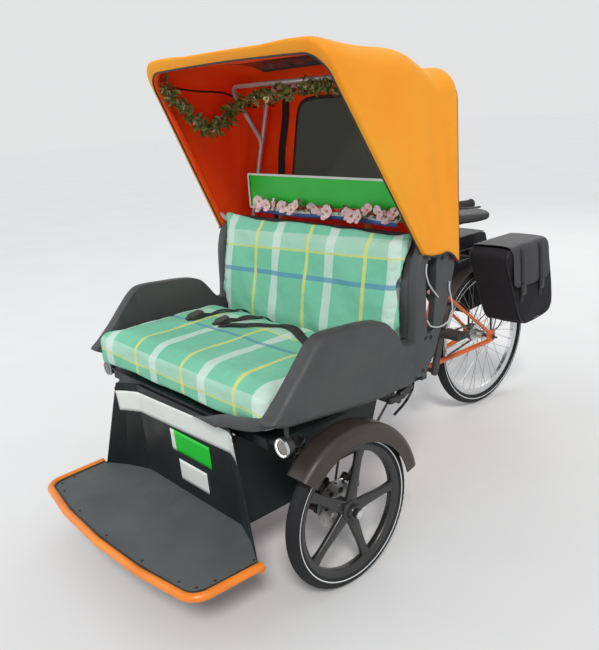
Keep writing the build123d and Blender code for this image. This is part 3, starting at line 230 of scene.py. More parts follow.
def stripe(tree, value, first, period, width):
    """1 inside stripes of that width, the first centred at a value and the rest a period apart."""
    wrapped = tree.nodes.new("ShaderNodeMath")
    wrapped.operation = "WRAP"
    moved = math_node(tree, "SUBTRACT", value, first - width / 2)
    tree.links.new(moved, wrapped.inputs[0])
    wrapped.inputs[1].default_value, wrapped.inputs[2].default_value = period, 0.0
    return math_node(tree, "LESS_THAN", wrapped.outputs[0], width)


def uv_of(tree):
    """The two coordinates of the piece's own UV map, which is in metres."""
    split = tree.nodes.new("ShaderNodeSeparateXYZ")
    tree.links.new(tree.nodes.new("ShaderNodeTexCoord").outputs["UV"], split.inputs[0])
    return split.outputs[0], split.outputs[1]


def weave(material, threads, depth):
    """Relief of crossing threads on the UV map: two waves at right angles, the higher of the two at each point."""
    tree = material.node_tree
    shader = tree.nodes["Principled BSDF"]
    uv = tree.nodes.new("ShaderNodeTexCoord").outputs["UV"]
    waves = []
    for direction in ("X", "Y"):
        wave = tree.nodes.new("ShaderNodeTexWave")
        wave.bands_direction = direction
        wave.inputs["Scale"].default_value = 0.314 * threads
        wave.inputs["Distortion"].default_value = 0.6
        tree.links.new(uv, wave.inputs["Vector"])
        waves.append(wave.outputs["Fac"])
    relief(tree, shader, math_node(tree, "MAXIMUM", *waves), depth)
    return material


def plaid():
    """Woven plaid on the UV map: pale bars and thin yellow lines one way, a pale bar, a thin yellow line
    and a blue bar the other way, each thread colour half covering what it crosses."""
    material = finish(
        "plaid blanket", tone(120, 194, 164), 0.95, Sheen_Weight=0.06, Sheen_Roughness=0.5, Specular_IOR_Level=0.12,
    )
    tree = material.node_tree
    shader = tree.nodes["Principled BSDF"]
    u, v = uv_of(tree)
    place = tree.nodes.new("ShaderNodeTexCoord").outputs["Object"]
    colour = blended(tree, noise(tree, place, 3, 2), tone(106, 186, 156), tone(132, 202, 172))
    bars = [
        # coordinate, middle, period, width, colour, cover
        (v, 0.962, 0.42, 0.054, tone(186, 216, 200), 0.6),
        (u, 0.155, 0.283, 0.042, tone(218, 230, 226), 0.62),
        (v, 0.931, 0.42, 0.008, tone(206, 214, 118), 0.75),
        (v, 0.840, 0.42, 0.017, tone(84, 140, 178), 0.72),
        (u, 0.040, 0.283, 0.016, tone(216, 218, 118), 0.76),
    ]
    for coordinate, middle, period, width, thread, cover in bars:
        share = math_node(tree, "MULTIPLY", stripe(tree, coordinate, middle, period, width), cover)
        colour = blended(tree, share, colour, thread)
    tree.links.new(colour, shader.inputs["Base Color"])
    relief(tree, shader, noise(tree, place, 900, 3), 0.0004)
    relief(tree, shader, noise(tree, place, 60, 3), 0.0012)
    relief(tree, shader, noise(tree, place, 9, 2), 0.012)
    return weave(material, 420, 0.0003)


def tyre_rubber(name, stripe_radius, stripe_width):
    """Black rubber with a pale reflecting line on the side wall; V of the tyre's UV map is the radius."""
    material = finish(
        name, (0.009, 0.010, 0.012), 0.78, mottle=((0.022, 0.022, 0.023), 14, 0.55), grains=((700, 0.0003),),
        dust=((0.09, 0.085, 0.075), 0.3, 0.10), Specular_IOR_Level=0.3,
    )
    tree = material.node_tree
    shader = tree.nodes["Principled BSDF"]
    radius = uv_of(tree)[1]
    line = stripe(tree, radius, stripe_radius, 5.0, stripe_width)
    base = shader.inputs["Base Color"].links[0].from_socket
    tree.links.new(blended(tree, line, base, tone(214, 218, 220)), shader.inputs["Base Color"])
    return material


def hood_cloth_finish(name, colour, second):
    """Coated tent cloth: a fine weave, broad fading and faint creases; some light goes through it."""
    material = finish(
        name, colour, 0.62, mottle=(second, 2.2, 0.8), grains=((7, 0.004),), Specular_IOR_Level=0.2,
        Subsurface_Weight=0.7, Subsurface_Scale=0.003, Subsurface_Radius=(1.0, 0.35, 0.12),
    )
    return weave(material, 900, 0.0002)


ORANGE = finish(
    "orange frame paint", tone(214, 98, 24), 0.3, mottle=(tone(190, 78, 16), 6, 0.6), uneven=(40, 0.22, 0.4),
    grains=((220, 0.0001),), dust=((0.3, 0.22, 0.14), 0.4, 0.25), Coat_Weight=0.35, Coat_Roughness=0.15,
)
TUBE_ORANGE = finish(
    "orange step paint", tone(238, 134, 20), 0.4, mottle=(tone(216, 106, 16), 9, 0.7), uneven=(30, 0.3, 0.55),
    grains=((180, 0.0002),), dust=((0.30, 0.17, 0.06), 0.24, 0.3), Coat_Weight=0.15, Coat_Roughness=0.25,
)
BLACK_PAINT = finish(
    "black paint", (0.017, 0.017, 0.018), 0.38, mottle=((0.035, 0.034, 0.033), 12, 0.6), uneven=(50, 0.28, 0.5),
    grains=((300, 0.0001),), dust=((0.13, 0.115, 0.09), 0.5, 0.3),
)
DARK_STEEL = finish(
    "dark steel", (0.03, 0.03, 0.031), 0.45, mottle=((0.07, 0.062, 0.052), 20, 0.6), uneven=(60, 0.35, 0.6),
    grains=((260, 0.0002),), dust=((0.16, 0.13, 0.1), 0.4, 0.4), Metallic=0.6,
)
SILVER = finish(
    "polished alloy", (0.66, 0.67, 0.68), 0.28, mottle=((0.5, 0.5, 0.5), 16, 0.5), uneven=(70, 0.2, 0.38),
    grains=((400, 0.0001),), Metallic=1.0,
)
DISC_STEEL = finish(
    "ground disc steel", (0.5, 0.5, 0.5), 0.32, mottle=((0.36, 0.34, 0.32), 30, 0.6), uneven=(140, 0.25, 0.45),
    grains=((800, 0.0001),), Metallic=1.0,
)
CHAIN_STEEL = finish(
    "oiled chain steel", (0.2, 0.19, 0.17), 0.4, mottle=((0.08, 0.07, 0.055), 60, 0.8), uneven=(120, 0.3, 0.55),
    grains=((500, 0.0001),), Metallic=0.9,
)
BOW_GREY = finish(
    "grey hood tube", (0.66, 0.655, 0.65), 0.35, mottle=((0.54, 0.535, 0.53), 18, 0.5), uneven=(50, 0.28, 0.45),
    grains=((300, 0.0001),), Metallic=0.35,
)
SHELL_GREY = finish(
    "moulded grey plastic", tone(70, 71, 72), 0.5, mottle=(tone(58, 60, 62), 5, 0.7), uneven=(24, 0.42, 0.6),
    grains=((520, 0.00025), (1500, 0.0001)), dust=((0.16, 0.155, 0.14), 0.9, 0.2), Specular_IOR_Level=0.35,
)
GUARD_PLASTIC = finish(
    "mudguard plastic", tone(44, 41, 40), 0.36, mottle=(tone(60, 53, 48), 5, 0.7), uneven=(16, 0.28, 0.5),
    grains=((420, 0.0001),), dust=((0.2, 0.165, 0.12), 0.62, 0.3), Specular_IOR_Level=0.4,
)
PANEL_BLACK = finish(
    "black panel", tone(14, 22, 23), 0.42, mottle=(tone(22, 30, 31), 4, 0.6), uneven=(14, 0.32, 0.52),
    grains=((380, 0.00015),), dust=((0.07, 0.075, 0.07), 0.42, 0.25), Specular_IOR_Level=0.35,
)
PLATE_GREY = finish(
    "anti-slip plate", tone(82, 86, 88), 0.7, mottle=(tone(68, 72, 74), 4, 0.8), uneven=(18, 0.6, 0.82),
    grains=((950, 0.0006), (240, 0.0003)), dust=((0.2, 0.19, 0.17), 0.3, 0.35),
)
RIM_BLACK = finish(
    "black cast alloy", (0.012, 0.013, 0.014), 0.3, mottle=((0.026, 0.025, 0.024), 10, 0.5), uneven=(40, 0.22, 0.42),
    grains=((260, 0.0001),), dust=((0.09, 0.08, 0.06), 0.5, 0.14), Coat_Weight=0.15, Coat_Roughness=0.2,
)
GRIP_RUBBER = finish(
    "grip rubber", (0.02, 0.02, 0.02), 0.75, mottle=((0.04, 0.038, 0.036), 30, 0.5), grains=((600, 0.0003),),
)
BAG_CLOTH = weave(
    finish(
        "bag cloth", tone(32, 31, 36), 0.85, mottle=(tone(44, 42, 47), 7, 0.6), grains=((30, 0.002),),
        Specular_IOR_Level=0.25,
    ),
    620, 0.0004,
)
BAG_FLAP = weave(
    finish("coated bag flap", tone(42, 41, 47), 0.5, mottle=(tone(54, 52, 57), 6, 0.6), grains=((24, 0.002),)),
    620, 0.0002,
)
WEBBING = weave(finish("black webbing", (0.018, 0.018, 0.02), 0.8, grains=((200, 0.0003),)), 700, 0.0005)
SADDLE_BLACK = finish(
    "saddle cover", (0.02, 0.02, 0.021), 0.5, mottle=((0.035, 0.034, 0.034), 18, 0.5), uneven=(60, 0.4, 0.6),
    grains=((420, 0.0004),),
)
HOOD_OUT = hood_cloth_finish("hood cloth outside", tone(252, 164, 44), tone(246, 148, 30))
# The hood's inside and its front sleeve take a darker, redder copy of the hood cloth: painted shade.
HOOD_SHADED = hood_cloth_finish("hood cloth, painted shade", tone(252, 84, 16), tone(246, 66, 8))
PIPING = finish("black piping", (0.012, 0.012, 0.012), 0.5, grains=((500, 0.0002),))
PLAID = plaid()
FRONT_RUBBER = tyre_rubber("front tyre rubber", 0.222, 0.0032)
REAR_RUBBER = tyre_rubber("rear tyre rubber", 0.311, 0.0035)
SIGN_GREEN = finish(
    "green board", tone(10, 196, 44), 0.4, mottle=(tone(18, 178, 44), 6, 0.5), uneven=(20, 0.32, 0.48),
)
WHITE = finish("white film", tone(226, 230, 226), 0.45, mottle=(tone(204, 210, 206), 8, 0.6), uneven=(20, 0.38, 0.55))
SMOKED = finish("smoked film", tone(60, 58, 54), 0.15, Transmission_Weight=0.75, IOR=1.15, grains=((6, 0.003),))
WINDOW_FILM = finish(
    "tinted window film", tone(72, 74, 66), 0.12, mottle=(tone(64, 66, 58), 4, 0.5), grains=((5, 0.004),),
    Transmission_Weight=0.8, IOR=1.12,
)
LENS = finish(
    "lamp lens", (0.95, 0.95, 0.93), 0.06, mottle=((0.9, 0.9, 0.88), 60, 0.5), grains=((220, 0.0004),),
    Transmission_Weight=0.85, IOR=1.45,
)
GLOW = finish(
    "lamp reflector", (0.95, 0.94, 0.9), 0.15, mottle=((0.86, 0.84, 0.78), 90, 0.5), grains=((160, 0.0006),),
    Metallic=0.6, Emission_Color=(1, 0.93, 0.78, 1), Emission_Strength=5.0,
)
WIRE = finish("wheel wire", (0.36, 0.36, 0.37), 0.35, mottle=((0.24, 0.24, 0.24), 60, 0.5), Metallic=0.85)
CREAM = finish("cream blossom", tone(240, 228, 176), 0.6, mottle=(tone(250, 240, 206), 90, 0.7))
CABLE_GREY = finish("grey cable", tone(176, 180, 182), 0.5, grains=((600, 0.0001),))
LEAF = finish("garland leaf", tone(96, 106, 46), 0.6, mottle=(tone(150, 136, 70), 60, 0.8))
PETAL = finish("white petals", tone(234, 214, 214), 0.6, mottle=(tone(220, 150, 160), 90, 0.6))
PETAL_HEART = finish("flower heart", tone(206, 150, 60), 0.7, mottle=(tone(160, 70, 60), 120, 0.6))
RED = finish("red ribbon", tone(206, 44, 36), 0.5, mottle=(tone(180, 34, 30), 30, 0.5))
BLUE = finish("blue ribbon", tone(62, 92, 158), 0.5, mottle=(tone(50, 78, 140), 30, 0.5))

node_finishes = [
    (ORANGE, "bench_frame main_frame"),
    (TUBE_ORANGE, "footplate_tube"),
    (DISC_STEEL, "brake_disc_left brake_disc_right"),
    (SILVER, "caliper_left caliper_right"),
    (BLACK_PAINT, "brake_levers carrier crankset handlebar seat_post steering_column"),
    (DARK_STEEL, "drag_link knuckle_left knuckle_right suspension_arms tie_rod"),
    (GUARD_PLASTIC, "fender_left fender_right rear_fender"),
    (PLATE_GREY, "footplate"),
    (PANEL_BLACK, "front_panel seat_pan side_walls"),
    (SHELL_GREY, "hood_brackets seat_back_shell"),
    (BOW_GREY, "hood_frame"),
    (GRIP_RUBBER, "pedal_left pedal_right"),
    (CHAIN_STEEL, "rear_axle"),
    (WINDOW_FILM, "rear_window"),
    (SIGN_GREEN, "sign_board"),
    (CABLE_GREY, "bracket_cables"),
]
for node_finish, node_names in node_finishes:
    for node_name in node_names.split():
        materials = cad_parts[node_name].data.materials
        materials.clear()
        materials.append(node_finish)


# Surfaces from arrays.


def surface(points, close_rows=False, close_columns=False, uv=None, slot=0):
    """A grid of points joined into four-sided faces, each point with the next in its row and its column."""
    rows, columns = points.shape[:2]
    r, c = np.meshgrid(
        np.arange(rows if close_rows else rows - 1),
        np.arange(columns if close_columns else columns - 1),
        indexing="ij",
    )
    r2, c2 = (r + 1) % rows, (c + 1) % columns
    faces = np.stack([r * columns + c, r2 * columns + c, r2 * columns + c2, r * columns + c2], -1)
    uv = np.zeros((rows * columns, 2)) if uv is None else np.asarray(uv, float).reshape(-1, 2)
    return Part(points.reshape(-1, 3), faces.reshape(-1, 4), uv, slot)


def lid(ring, slot=0):
    """A closed ring of points filled to its middle with triangles."""
    count = len(ring)
    i = np.arange(count)
    points = np.vstack([ring, ring.mean(0)])
    return Part(points, np.stack([i, (i + 1) % count, np.full(count, count)], -1), np.zeros((count + 1, 2)), slot)


def skin(grid, slot=0):
    """A grid closed round its columns, with a lid over its first and its last row."""
    return [surface(grid, close_columns=True, slot=slot), lid(grid[0], slot), lid(grid[-1], slot)]


def set_at(x, ring):
    """A flat ring of (y, z) points set at that x."""
    return np.column_stack([np.full(len(ring), x), ring])


def piece(name, parts, materials, body, replaced=(), sharp=40, outward=True, moved=(0, 0, 0)):
    """One mesh of all the parts, doubles merged and faces turned outwards, riding on a body."""
    points = np.vstack([p.points for p in parts]) + np.array([0, FRONT, 0]) + np.array(moved)
    starts = np.cumsum([0] + [len(p.points) for p in parts[:-1]])
    faces = [f for p, s in zip(parts, starts) for f in (np.asarray(p.faces) + s).tolist()]
    mesh = bpy.data.meshes.new(name)
    mesh.from_pydata(points.tolist(), [], faces)
    uvs = np.vstack([p.uv for p in parts])
    corner = np.empty(len(mesh.loops), np.int32)
    mesh.loops.foreach_get("vertex_index", corner)
    mesh.uv_layers.new(name="cut").data.foreach_set("uv", uvs[corner].astype(np.float32).ravel())
    slots = np.concatenate([np.full(len(p.faces), p.slot, np.int32) for p in parts])
    mesh.polygons.foreach_set("material_index", slots)
    for material in materials if isinstance(materials, (list, tuple)) else [materials]:
        mesh.materials.append(material)
    shape = bmesh.new()
    shape.from_mesh(mesh)
    bmesh.ops.remove_doubles(shape, verts=shape.verts, dist=2e-6)
    bmesh.ops.dissolve_degenerate(shape, edges=shape.edges, dist=1e-7)
    if outward:
        bmesh.ops.recalc_face_normals(shape, faces=shape.faces)
    shape.to_mesh(mesh)
    shape.free()
    mesh.polygons.foreach_set("use_smooth", np.ones(len(mesh.polygons), bool))
    mesh.set_sharp_from_angle(angle=math.radians(sharp))
    obj = bpy.data.objects.new(name, mesh)
    bpy.context.scene.collection.objects.link(obj)
    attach(obj, body)
    if replaced:
        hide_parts(*replaced)
    return obj


def thicken(obj, thickness, inner_slot=None, offset=-1):
    """Gives a sheet its thickness: on the inner side at -1, on both at 0, on the outer at 1."""
    solid = obj.modifiers.new("thickness", "SOLIDIFY")
    solid.thickness = thickness
    solid.offset = offset
    if inner_slot is not None:
        solid.material_offset = inner_slot
        solid.material_offset_rim = inner_slot


def through(points, count, closed=False):
    """A smooth curve through the points: each span is the cubic that leaves and reaches its ends
    in the direction from the point before to the point after."""
    p = np.asarray(points, float)
    if closed:
        padded = np.vstack([p[-1], p, p[0], p[1]])
        t = np.linspace(0, len(p), count, endpoint=False)
    else:
        padded = np.vstack([2 * p[0] - p[1], p, 2 * p[-1] - p[-2]])
        t = np.linspace(0, len(p) - 1, count)
    i = np.minimum(t.astype(int), (len(p) if closed else len(p) - 1) - 1)
    f = (t - i)[:, None]
    a, b, c, d = padded[i], padded[i + 1], padded[i + 2], padded[i + 3]
    return 0.5 * (2 * b + (c - a) * f + (2 * a - 5 * b + 4 * c - d) * f**2 + (3 * b - a - 3 * c + d) * f**3)


def unit(v):
    """Vectors scaled to length one, along the last axis."""
    return v / np.linalg.norm(v, axis=-1, keepdims=True)


def circle(radius, sides=12):
    """Points round a circle."""
    a = np.linspace(0, 2 * math.pi, sides, endpoint=False)
    return np.stack([radius * np.cos(a), radius * np.sin(a)], -1)


def rounded(half_a, half_b, power, count):
    """Points round a soft-cornered rectangle: a superellipse of that power."""
    a = np.linspace(0, 2 * math.pi, count, endpoint=False)
    c, s = np.cos(a), np.sin(a)
    return np.stack(
        [half_a * np.sign(c) * np.abs(c) ** (2 / power), half_b * np.sign(s) * np.abs(s) ** (2 / power)], -1
    )


def carried(path, section, up=(0, 0, 1), scale=None, closed=False):
    """A grid of a section carried along a path: its first number goes to the path's side, its second upwards."""
    path = np.asarray(path, float)
    if closed:
        heading = unit(np.roll(path, -1, 0) - np.roll(path, 1, 0))
    else:
        heading = unit(np.gradient(path, axis=0))
    side = unit(np.cross(heading, np.asarray(up, float)))
    rise = np.cross(side, heading)
    section = np.asarray(section, float)
    size = np.ones(len(path)) if scale is None else np.asarray(scale, float)
    return path[:, None] + size[:, None, None] * (
        side[:, None] * section[None, :, :1] + rise[:, None] * section[None, :, 1:]
    )


def bar(path, section, up=(0, 0, 1), scale=None, slot=0, closed=False):
    """A closed bar: the section carried along the path, with a lid at each end."""
    grid = carried(path, section, up, scale, closed)
    if closed:
        return [surface(grid, close_rows=True, close_columns=True, slot=slot)]
    return skin(grid, slot)


def turned(start, heading, profile, sides=48, slot=0, closed=False):
    """A turned part: rings at each distance along a line, with that radius. A closed profile has a hole."""
    start, heading = np.asarray(start, float), unit(np.asarray(heading, float))
    side = unit(np.cross(heading, (0.0, 0.0, 1.0) if abs(heading[2]) < 0.9 else (1.0, 0.0, 0.0)))
    rise = np.cross(side, heading)
    profile = np.asarray(profile, float)
    ring = circle(1.0, sides)
    middle = start + profile[:, :1] * heading
    grid = middle[:, None] + profile[:, 1, None, None] * (ring[None, :, :1] * side + ring[None, :, 1:] * rise)
    parts = [surface(grid, close_rows=closed, close_columns=True, slot=slot)]
    if not closed:
        parts += [lid(g, slot) for g in (grid[0], grid[-1])]
    return parts


def slab(middle, a, b, c, half, power=5, bevel=0.2):
    """A small block with soft edges: its outline lies along directions a and b, and it is thick along c."""
    outline = rounded(half[0], half[1], power, 32)
    a, b, c = (unit(np.asarray(v, float)) for v in (a, b, c))
    edge = bevel * min(half)
    rows = [(-half[2], edge), (-half[2] + edge, 0), (half[2] - edge, 0), (half[2], edge)]
    grid = []
    for height, inset in rows:
        share = 1 - inset / np.array(half[:2])
        ring = outline * share
        grid.append(np.asarray(middle) + ring[:, :1] * a + ring[:, 1:] * b + height * c)
    return skin(np.array(grid))


def bolt(place, heading, radius, height):
    """A round bolt head with a soft edge and a socket."""
    profile = np.array([(0, 1), (0.7, 1), (1, 0.8), (1, 0.45), (0.5, 0.4)]) * (height, radius)
    return turned(place, heading, profile, 16)


# Wheels.


def tyre(axle, radius, width, blocks, groove):
    """A tyre: round section, with r the radius to its middle plus the section's; grooves are pressed into the crown."""
    around = np.linspace(0, 2 * math.pi, blocks * 5, endpoint=False)
    across = np.concatenate([np.linspace(-2.5, -1.0, 12), np.linspace(-0.9, 0.9, 25), np.linspace(1.0, 2.5, 12)])
    a, s = np.meshgrid(around, across, indexing="ij")
    phase = (np.arange(len(around))[:, None] + np.round(2.2 * np.abs(s)).astype(int)) % 5
    crown = np.abs(s) < 0.92
    pressed = crown & (((phase == 0) & (np.abs(s) > 0.2)) | (np.abs(np.abs(s) - 0.225) < 0.04))
    shoulder = (np.abs(s) > 0.92) & (np.abs(s) < 1.25)
    section = width / 2 - groove * pressed - groove * 0.45 * shoulder
    r = radius - width / 2 + section * np.cos(s)
    points = np.stack([axle[0] + section * np.sin(s), axle[1] + r * np.cos(a), axle[2] + r * np.sin(a)], -1)
    return [surface(points, True, True, np.stack([a * radius, r], -1))]


def spoke_arms(axle, count, reach, hub_width, rim_width, half_thick):
    """Cast arms: a soft rectangle carried from hub to rim, its width flared at both ends."""
    t = np.linspace(0, 1, 24)
    width = rim_width + (hub_width - rim_width) * (1 - t) ** 1.5 + 0.016 * t**7
    thick = half_thick * (1 - 0.22 * t) + 0.003 * t**8
    outline = rounded(1, 1, 4, 20)
    parts = []
    for k in range(count):
        turn = 2 * math.pi * k / count
        out = np.array([0, math.cos(turn), math.sin(turn)])
        across = np.array([0, -math.sin(turn), math.cos(turn)])
        middle = np.asarray(axle) + (0.015 + (reach - 0.015) * t)[:, None] * out
        grid = middle[:, None] + outline[None, :, :1] * width[:, None, None] / 2 * across
        grid = grid + outline[None, :, 1:] * thick[:, None, None] * np.array([1.0, 0, 0])
        parts += skin(grid)
    return parts


def front_wheel(side, name):
    """Cast rim with five arms and a hub, and its tyre."""
    axle = np.array([side * 0.510, 0.0, FRONT_R])
    rim = [(-0.018, 0.2165), (-0.019, 0.208), (-0.015, 0.199), (-0.012, 0.192), (-0.008, 0.189), (0.008, 0.189),
           (0.012, 0.192), (0.015, 0.199), (0.019, 0.208), (0.018, 0.2165), (0.0165, 0.2165), (0.0155, 0.207),
           (-0.0155, 0.207), (-0.0165, 0.2165)]
    hub = [(-0.044, 0.0095), (-0.044, 0.025), (-0.041, 0.027), (-0.024, 0.027), (-0.016, 0.034), (0.012, 0.034),
           (0.018, 0.027), (0.032, 0.025), (0.035, 0.022), (0.035, 0.0095)]
    parts = turned(axle, (side, 0, 0), rim, 120, closed=True)
    parts += turned(axle, (side, 0, 0), hub, 48, closed=True)
    parts += spoke_arms(axle, 5, 0.193, 0.046, 0.024, 0.010)
    piece(f"cast_rim_{name}", parts, RIM_BLACK, f"wheel_{name}", [f"front_rim_{name}"])
    piece(f"tyre_{name}", tyre(axle, FRONT_R, 0.048, 72, 0.0016), FRONT_RUBBER, f"wheel_{name}",
          [f"front_tyre_{name}"], sharp=60)
    cap = [(0, 0.0145), (0.004, 0.0145), (0.006, 0.011), (0.0085, 0.008), (0.0095, 0.004)]
    cap = turned(axle + [side * 0.0462, 0, 0], (side, 0, 0), cap, 32)
    piece(f"axle_cap_{name}", cap, SILVER, f"knuckle_{name}")


for wheel_side, wheel_name in SIDES:
    front_wheel(wheel_side, wheel_name)


def toothed(axle, x, thick, teeth, root, tip, bore):
    """A sprocket: its outline's radius goes up and down with the angle, flattened at the roots and tips."""
    a = np.linspace(0, 2 * math.pi, teeth * 10, endpoint=False)
    r = root + (tip - root) * np.clip(0.5 + 0.85 * np.cos(teeth * a), 0, 1)
    hole = np.full(len(a), bore)
    rows = [(hole, -2), (r - 0.001, -2), (r, -1), (r, 1), (r - 0.001, 2), (hole, 2)]
    around = np.stack([np.cos(a), np.sin(a)], -1)
    rings = [set_at(x + thick / 4 * step, axle[1:] + radius[:, None] * around) for radius, step in rows]
    return [surface(np.array(rings), close_rows=True, close_columns=True)]


def rear_wheel():
    """Alloy rim, hub with wires laced to it, sprocket, and tyre."""
    axle = np.array([0.0, WHEELBASE, REAR_R])
    rim = [(-0.0145, 0.2935), (-0.0145, 0.283), (-0.013, 0.276), (-0.009, 0.271), (0.009, 0.271), (0.013, 0.276),
           (0.0145, 0.283), (0.0145, 0.2935), (0.0128, 0.2935), (0.012, 0.285), (-0.012, 0.285), (-0.0128, 0.2935)]
    parts = turned(axle, (1, 0, 0), rim, 180, closed=True)
    hub = [(-0.055, 0.0055), (-0.055, 0.016), (-0.046, 0.018), (-0.034, 0.019), (-0.033, 0.0365), (-0.0295, 0.0365),
           (-0.027, 0.024), (-0.012, 0.019), (0.012, 0.019), (0.027, 0.024), (0.0295, 0.0365), (0.033, 0.0365),
           (0.034, 0.018), (0.0345, 0.0055)]
    parts += turned(axle, (1, 0, 0), hub, 40, closed=True)
    wires, nipples = [], []
    thin = circle(0.0011, 6)
    for k in range(36):
        side = 1 if k % 2 else -1
        slant = 1 if (k // 2) % 2 else -1
        turn = 2 * math.pi * k / 36
        start_turn = turn + slant * math.radians(64)
        start = axle + [side * 0.031, 0.031 * math.cos(start_turn), 0.031 * math.sin(start_turn)]
        end = axle + [side * 0.003, 0.272 * math.cos(turn), 0.272 * math.sin(turn)]
        wires += bar(np.linspace(start, end, 2), thin, up=ACROSS, slot=1)
        heading = unit(end - start)
        nipples += bar(np.array([end - heading * 0.014, end - heading * 0.002]), circle(0.0021, 8), up=ACROSS)
    piece("rear_wheel_metal", parts + wires + nipples, [SILVER, WIRE], "rear_wheel", ["rear_rim"])
    sprocket = toothed(axle, CHAIN_X, 0.003, 18, 0.0345, 0.0395, 0.012)
    piece("rear_sprocket", sprocket, CHAIN_STEEL, "rear_wheel")
    rubber = tyre(axle, REAR_R, 0.047, 90, 0.0013)
    piece("tyre_rear", rubber, REAR_RUBBER, "rear_wheel", ["rear_tyre"], sharp=60)


rear_wheel()

# Shock absorbers.


def shock(side):
    """Damper with cups and collar, and a coil spring: a circle carried up a helix round the damper's line."""
    foot = np.array([side * 0.338, -0.026, 0.2273])
    head = np.array([side * 0.372, -0.075, 0.5137])
    run = np.linalg.norm(head - foot)
    heading = (head - foot) / run
    body = [(-0.002, 0.012), (0.03, 0.013), (0.032, 0.022), (0.040, 0.024), (0.046, 0.0235), (0.049, 0.0165),
            (0.14, 0.0165), (0.145, 0.008), (0.236, 0.008), (0.238, 0.0235), (0.246, 0.024), (0.252, 0.018),
            (0.262, 0.013), (run - 0.004, 0.012)]
    parts = turned(foot, heading, body, 32)
    turns, start, end = 8.0, 0.050, 0.237
    t = np.linspace(0, 1, 240)
    angle = 2 * math.pi * turns * t
    across = unit(np.cross(heading, (0, 1.0, 0)))
    other = np.cross(heading, across)
    eased = np.clip((t - 0.06) / 0.88, 0, 1)
    line = foot + heading * (start + (end - start) * (0.03 * t + 0.97 * eased))[:, None]
    line = line + 0.0205 * (np.cos(angle)[:, None] * across + np.sin(angle)[:, None] * other)
    coil = bar(line, circle(0.0036, 8), up=heading, slot=1)
    return parts + coil


SPRING_BLACK = finish("black spring", (0.03, 0.03, 0.033), 0.28, mottle=((0.06, 0.06, 0.06), 40, 0.4), Coat_Weight=0.3)
piece("coil_shocks", shock(1) + shock(-1), [DARK_STEEL, SPRING_BLACK], "frame", ["shocks"])

# Seat sides.


def shade_side(side):
    """A moulded side: its outline, smoothed, is carried out from the inner face, turned over a round rim and
    drawn in to a long spine, with the outer face a little crowned."""
    outline = through(
        [
            (-0.283, 0.629), (-0.225, 0.606), (-0.100, 0.590), (0.000, 0.578), (0.110, 0.568), (0.220, 0.566),
            (0.298, 0.567), (0.318, 0.584), (0.323, 0.640), (0.332, 0.678), (0.341, 0.700), (0.326, 0.708),
            (0.290, 0.708), (0.262, 0.725), (0.232, 0.764), (0.200, 0.797), (0.160, 0.813), (0.100, 0.822),
            (0.024, 0.828), (-0.040, 0.832), (-0.082, 0.828), (-0.115, 0.806), (-0.149, 0.771), (-0.217, 0.700),
            (-0.262, 0.657), (-0.286, 0.638),
        ],
        200,
        closed=True,
    )
    spine = np.stack([np.clip(outline[:, 0], -0.16, 0.24), np.clip(outline[:, 1], 0.655, 0.67)], -1)
    reach = np.linalg.norm(outline - spine, axis=1)[:, None]
    inward = (spine - outline) / np.maximum(reach, 1e-6)
    inner, outer, turn_r, crown = 0.4743, 0.532, 0.024, 0.002
    grid = [set_at(side * (inner + 0.001), outline + inward * reach * share) for share in (0.90, 0.45)]
    for depth, x in ((0.004, inner), (0.0, inner + 0.004)):
        grid.append(set_at(side * x, outline + inward * depth))
    for step in np.linspace(0, math.pi / 2, 9):
        x = outer - crown - turn_r + turn_r * math.sin(step)
        grid.append(set_at(side * x, outline + inward * turn_r * (1 - math.cos(step))))
    for share in (0.35, 0.6, 0.82, 0.97):
        ring = outline + inward * (turn_r + (reach - turn_r).clip(0) * share)
        grid.append(set_at(side * (outer - crown + crown * math.sin(share * 1.5)), ring))
    return skin(np.array(grid))


piece("moulded_sides", shade_side(1) + shade_side(-1), SHELL_GREY, "frame", ["seat_sides"], sharp=50)

# Hood.

hood_rows = np.array(
    [
        # hem y, hem z, roof y, roof z, half width at the hem, half width at the roof
        (0.391, 0.979, 0.074, 1.600, 0.521, 0.440),
        (0.384, 0.979, 0.068, 1.592, 0.513, 0.436),
        (0.367, 0.980, 0.058, 1.586, 0.513, 0.436),
        (0.359, 0.980, 0.047, 1.588, 0.522, 0.445),
        (0.358, 0.980, 0.038, 1.608, 0.536, 0.457),
        (0.360, 0.980, 0.038, 1.627, 0.541, 0.462),
        (0.364, 0.978, 0.070, 1.630, 0.541, 0.462),
        (0.372, 0.976, 0.125, 1.621, 0.541, 0.462),
        (0.382, 0.973, 0.190, 1.611, 0.541, 0.461),
        (0.392, 0.971, 0.260, 1.604, 0.541, 0.461),
        (0.404, 0.970, 0.337, 1.600, 0.541, 0.460),
        (0.418, 0.969, 0.400, 1.590, 0.541, 0.460),
        (0.433, 0.968, 0.449, 1.571, 0.541, 0.459),
        (0.449, 0.970, 0.494, 1.546, 0.541, 0.459),
        (0.465, 0.971, 0.528, 1.530, 0.541, 0.458),
        (0.482, 0.965, 0.566, 1.533, 0.541, 0.458),
        (0.500, 0.952, 0.602, 1.536, 0.541, 0.457),
        (0.516, 0.936, 0.627, 1.527, 0.541, 0.457),
        (0.527, 0.926, 0.637, 1.506, 0.541, 0.456),
    ]
)
hood_fine = 127
hood_corner = 42


def fine_row(row):
    """The row of the finer grid that a row of the table falls on."""
    return round(row * (hood_fine - 1) / (len(hood_rows) - 1))


def back_panel_y(z):
    """The back panel leans backwards: its y at a height."""
    return 0.530 + (z - 0.926) * 0.110 / 0.580


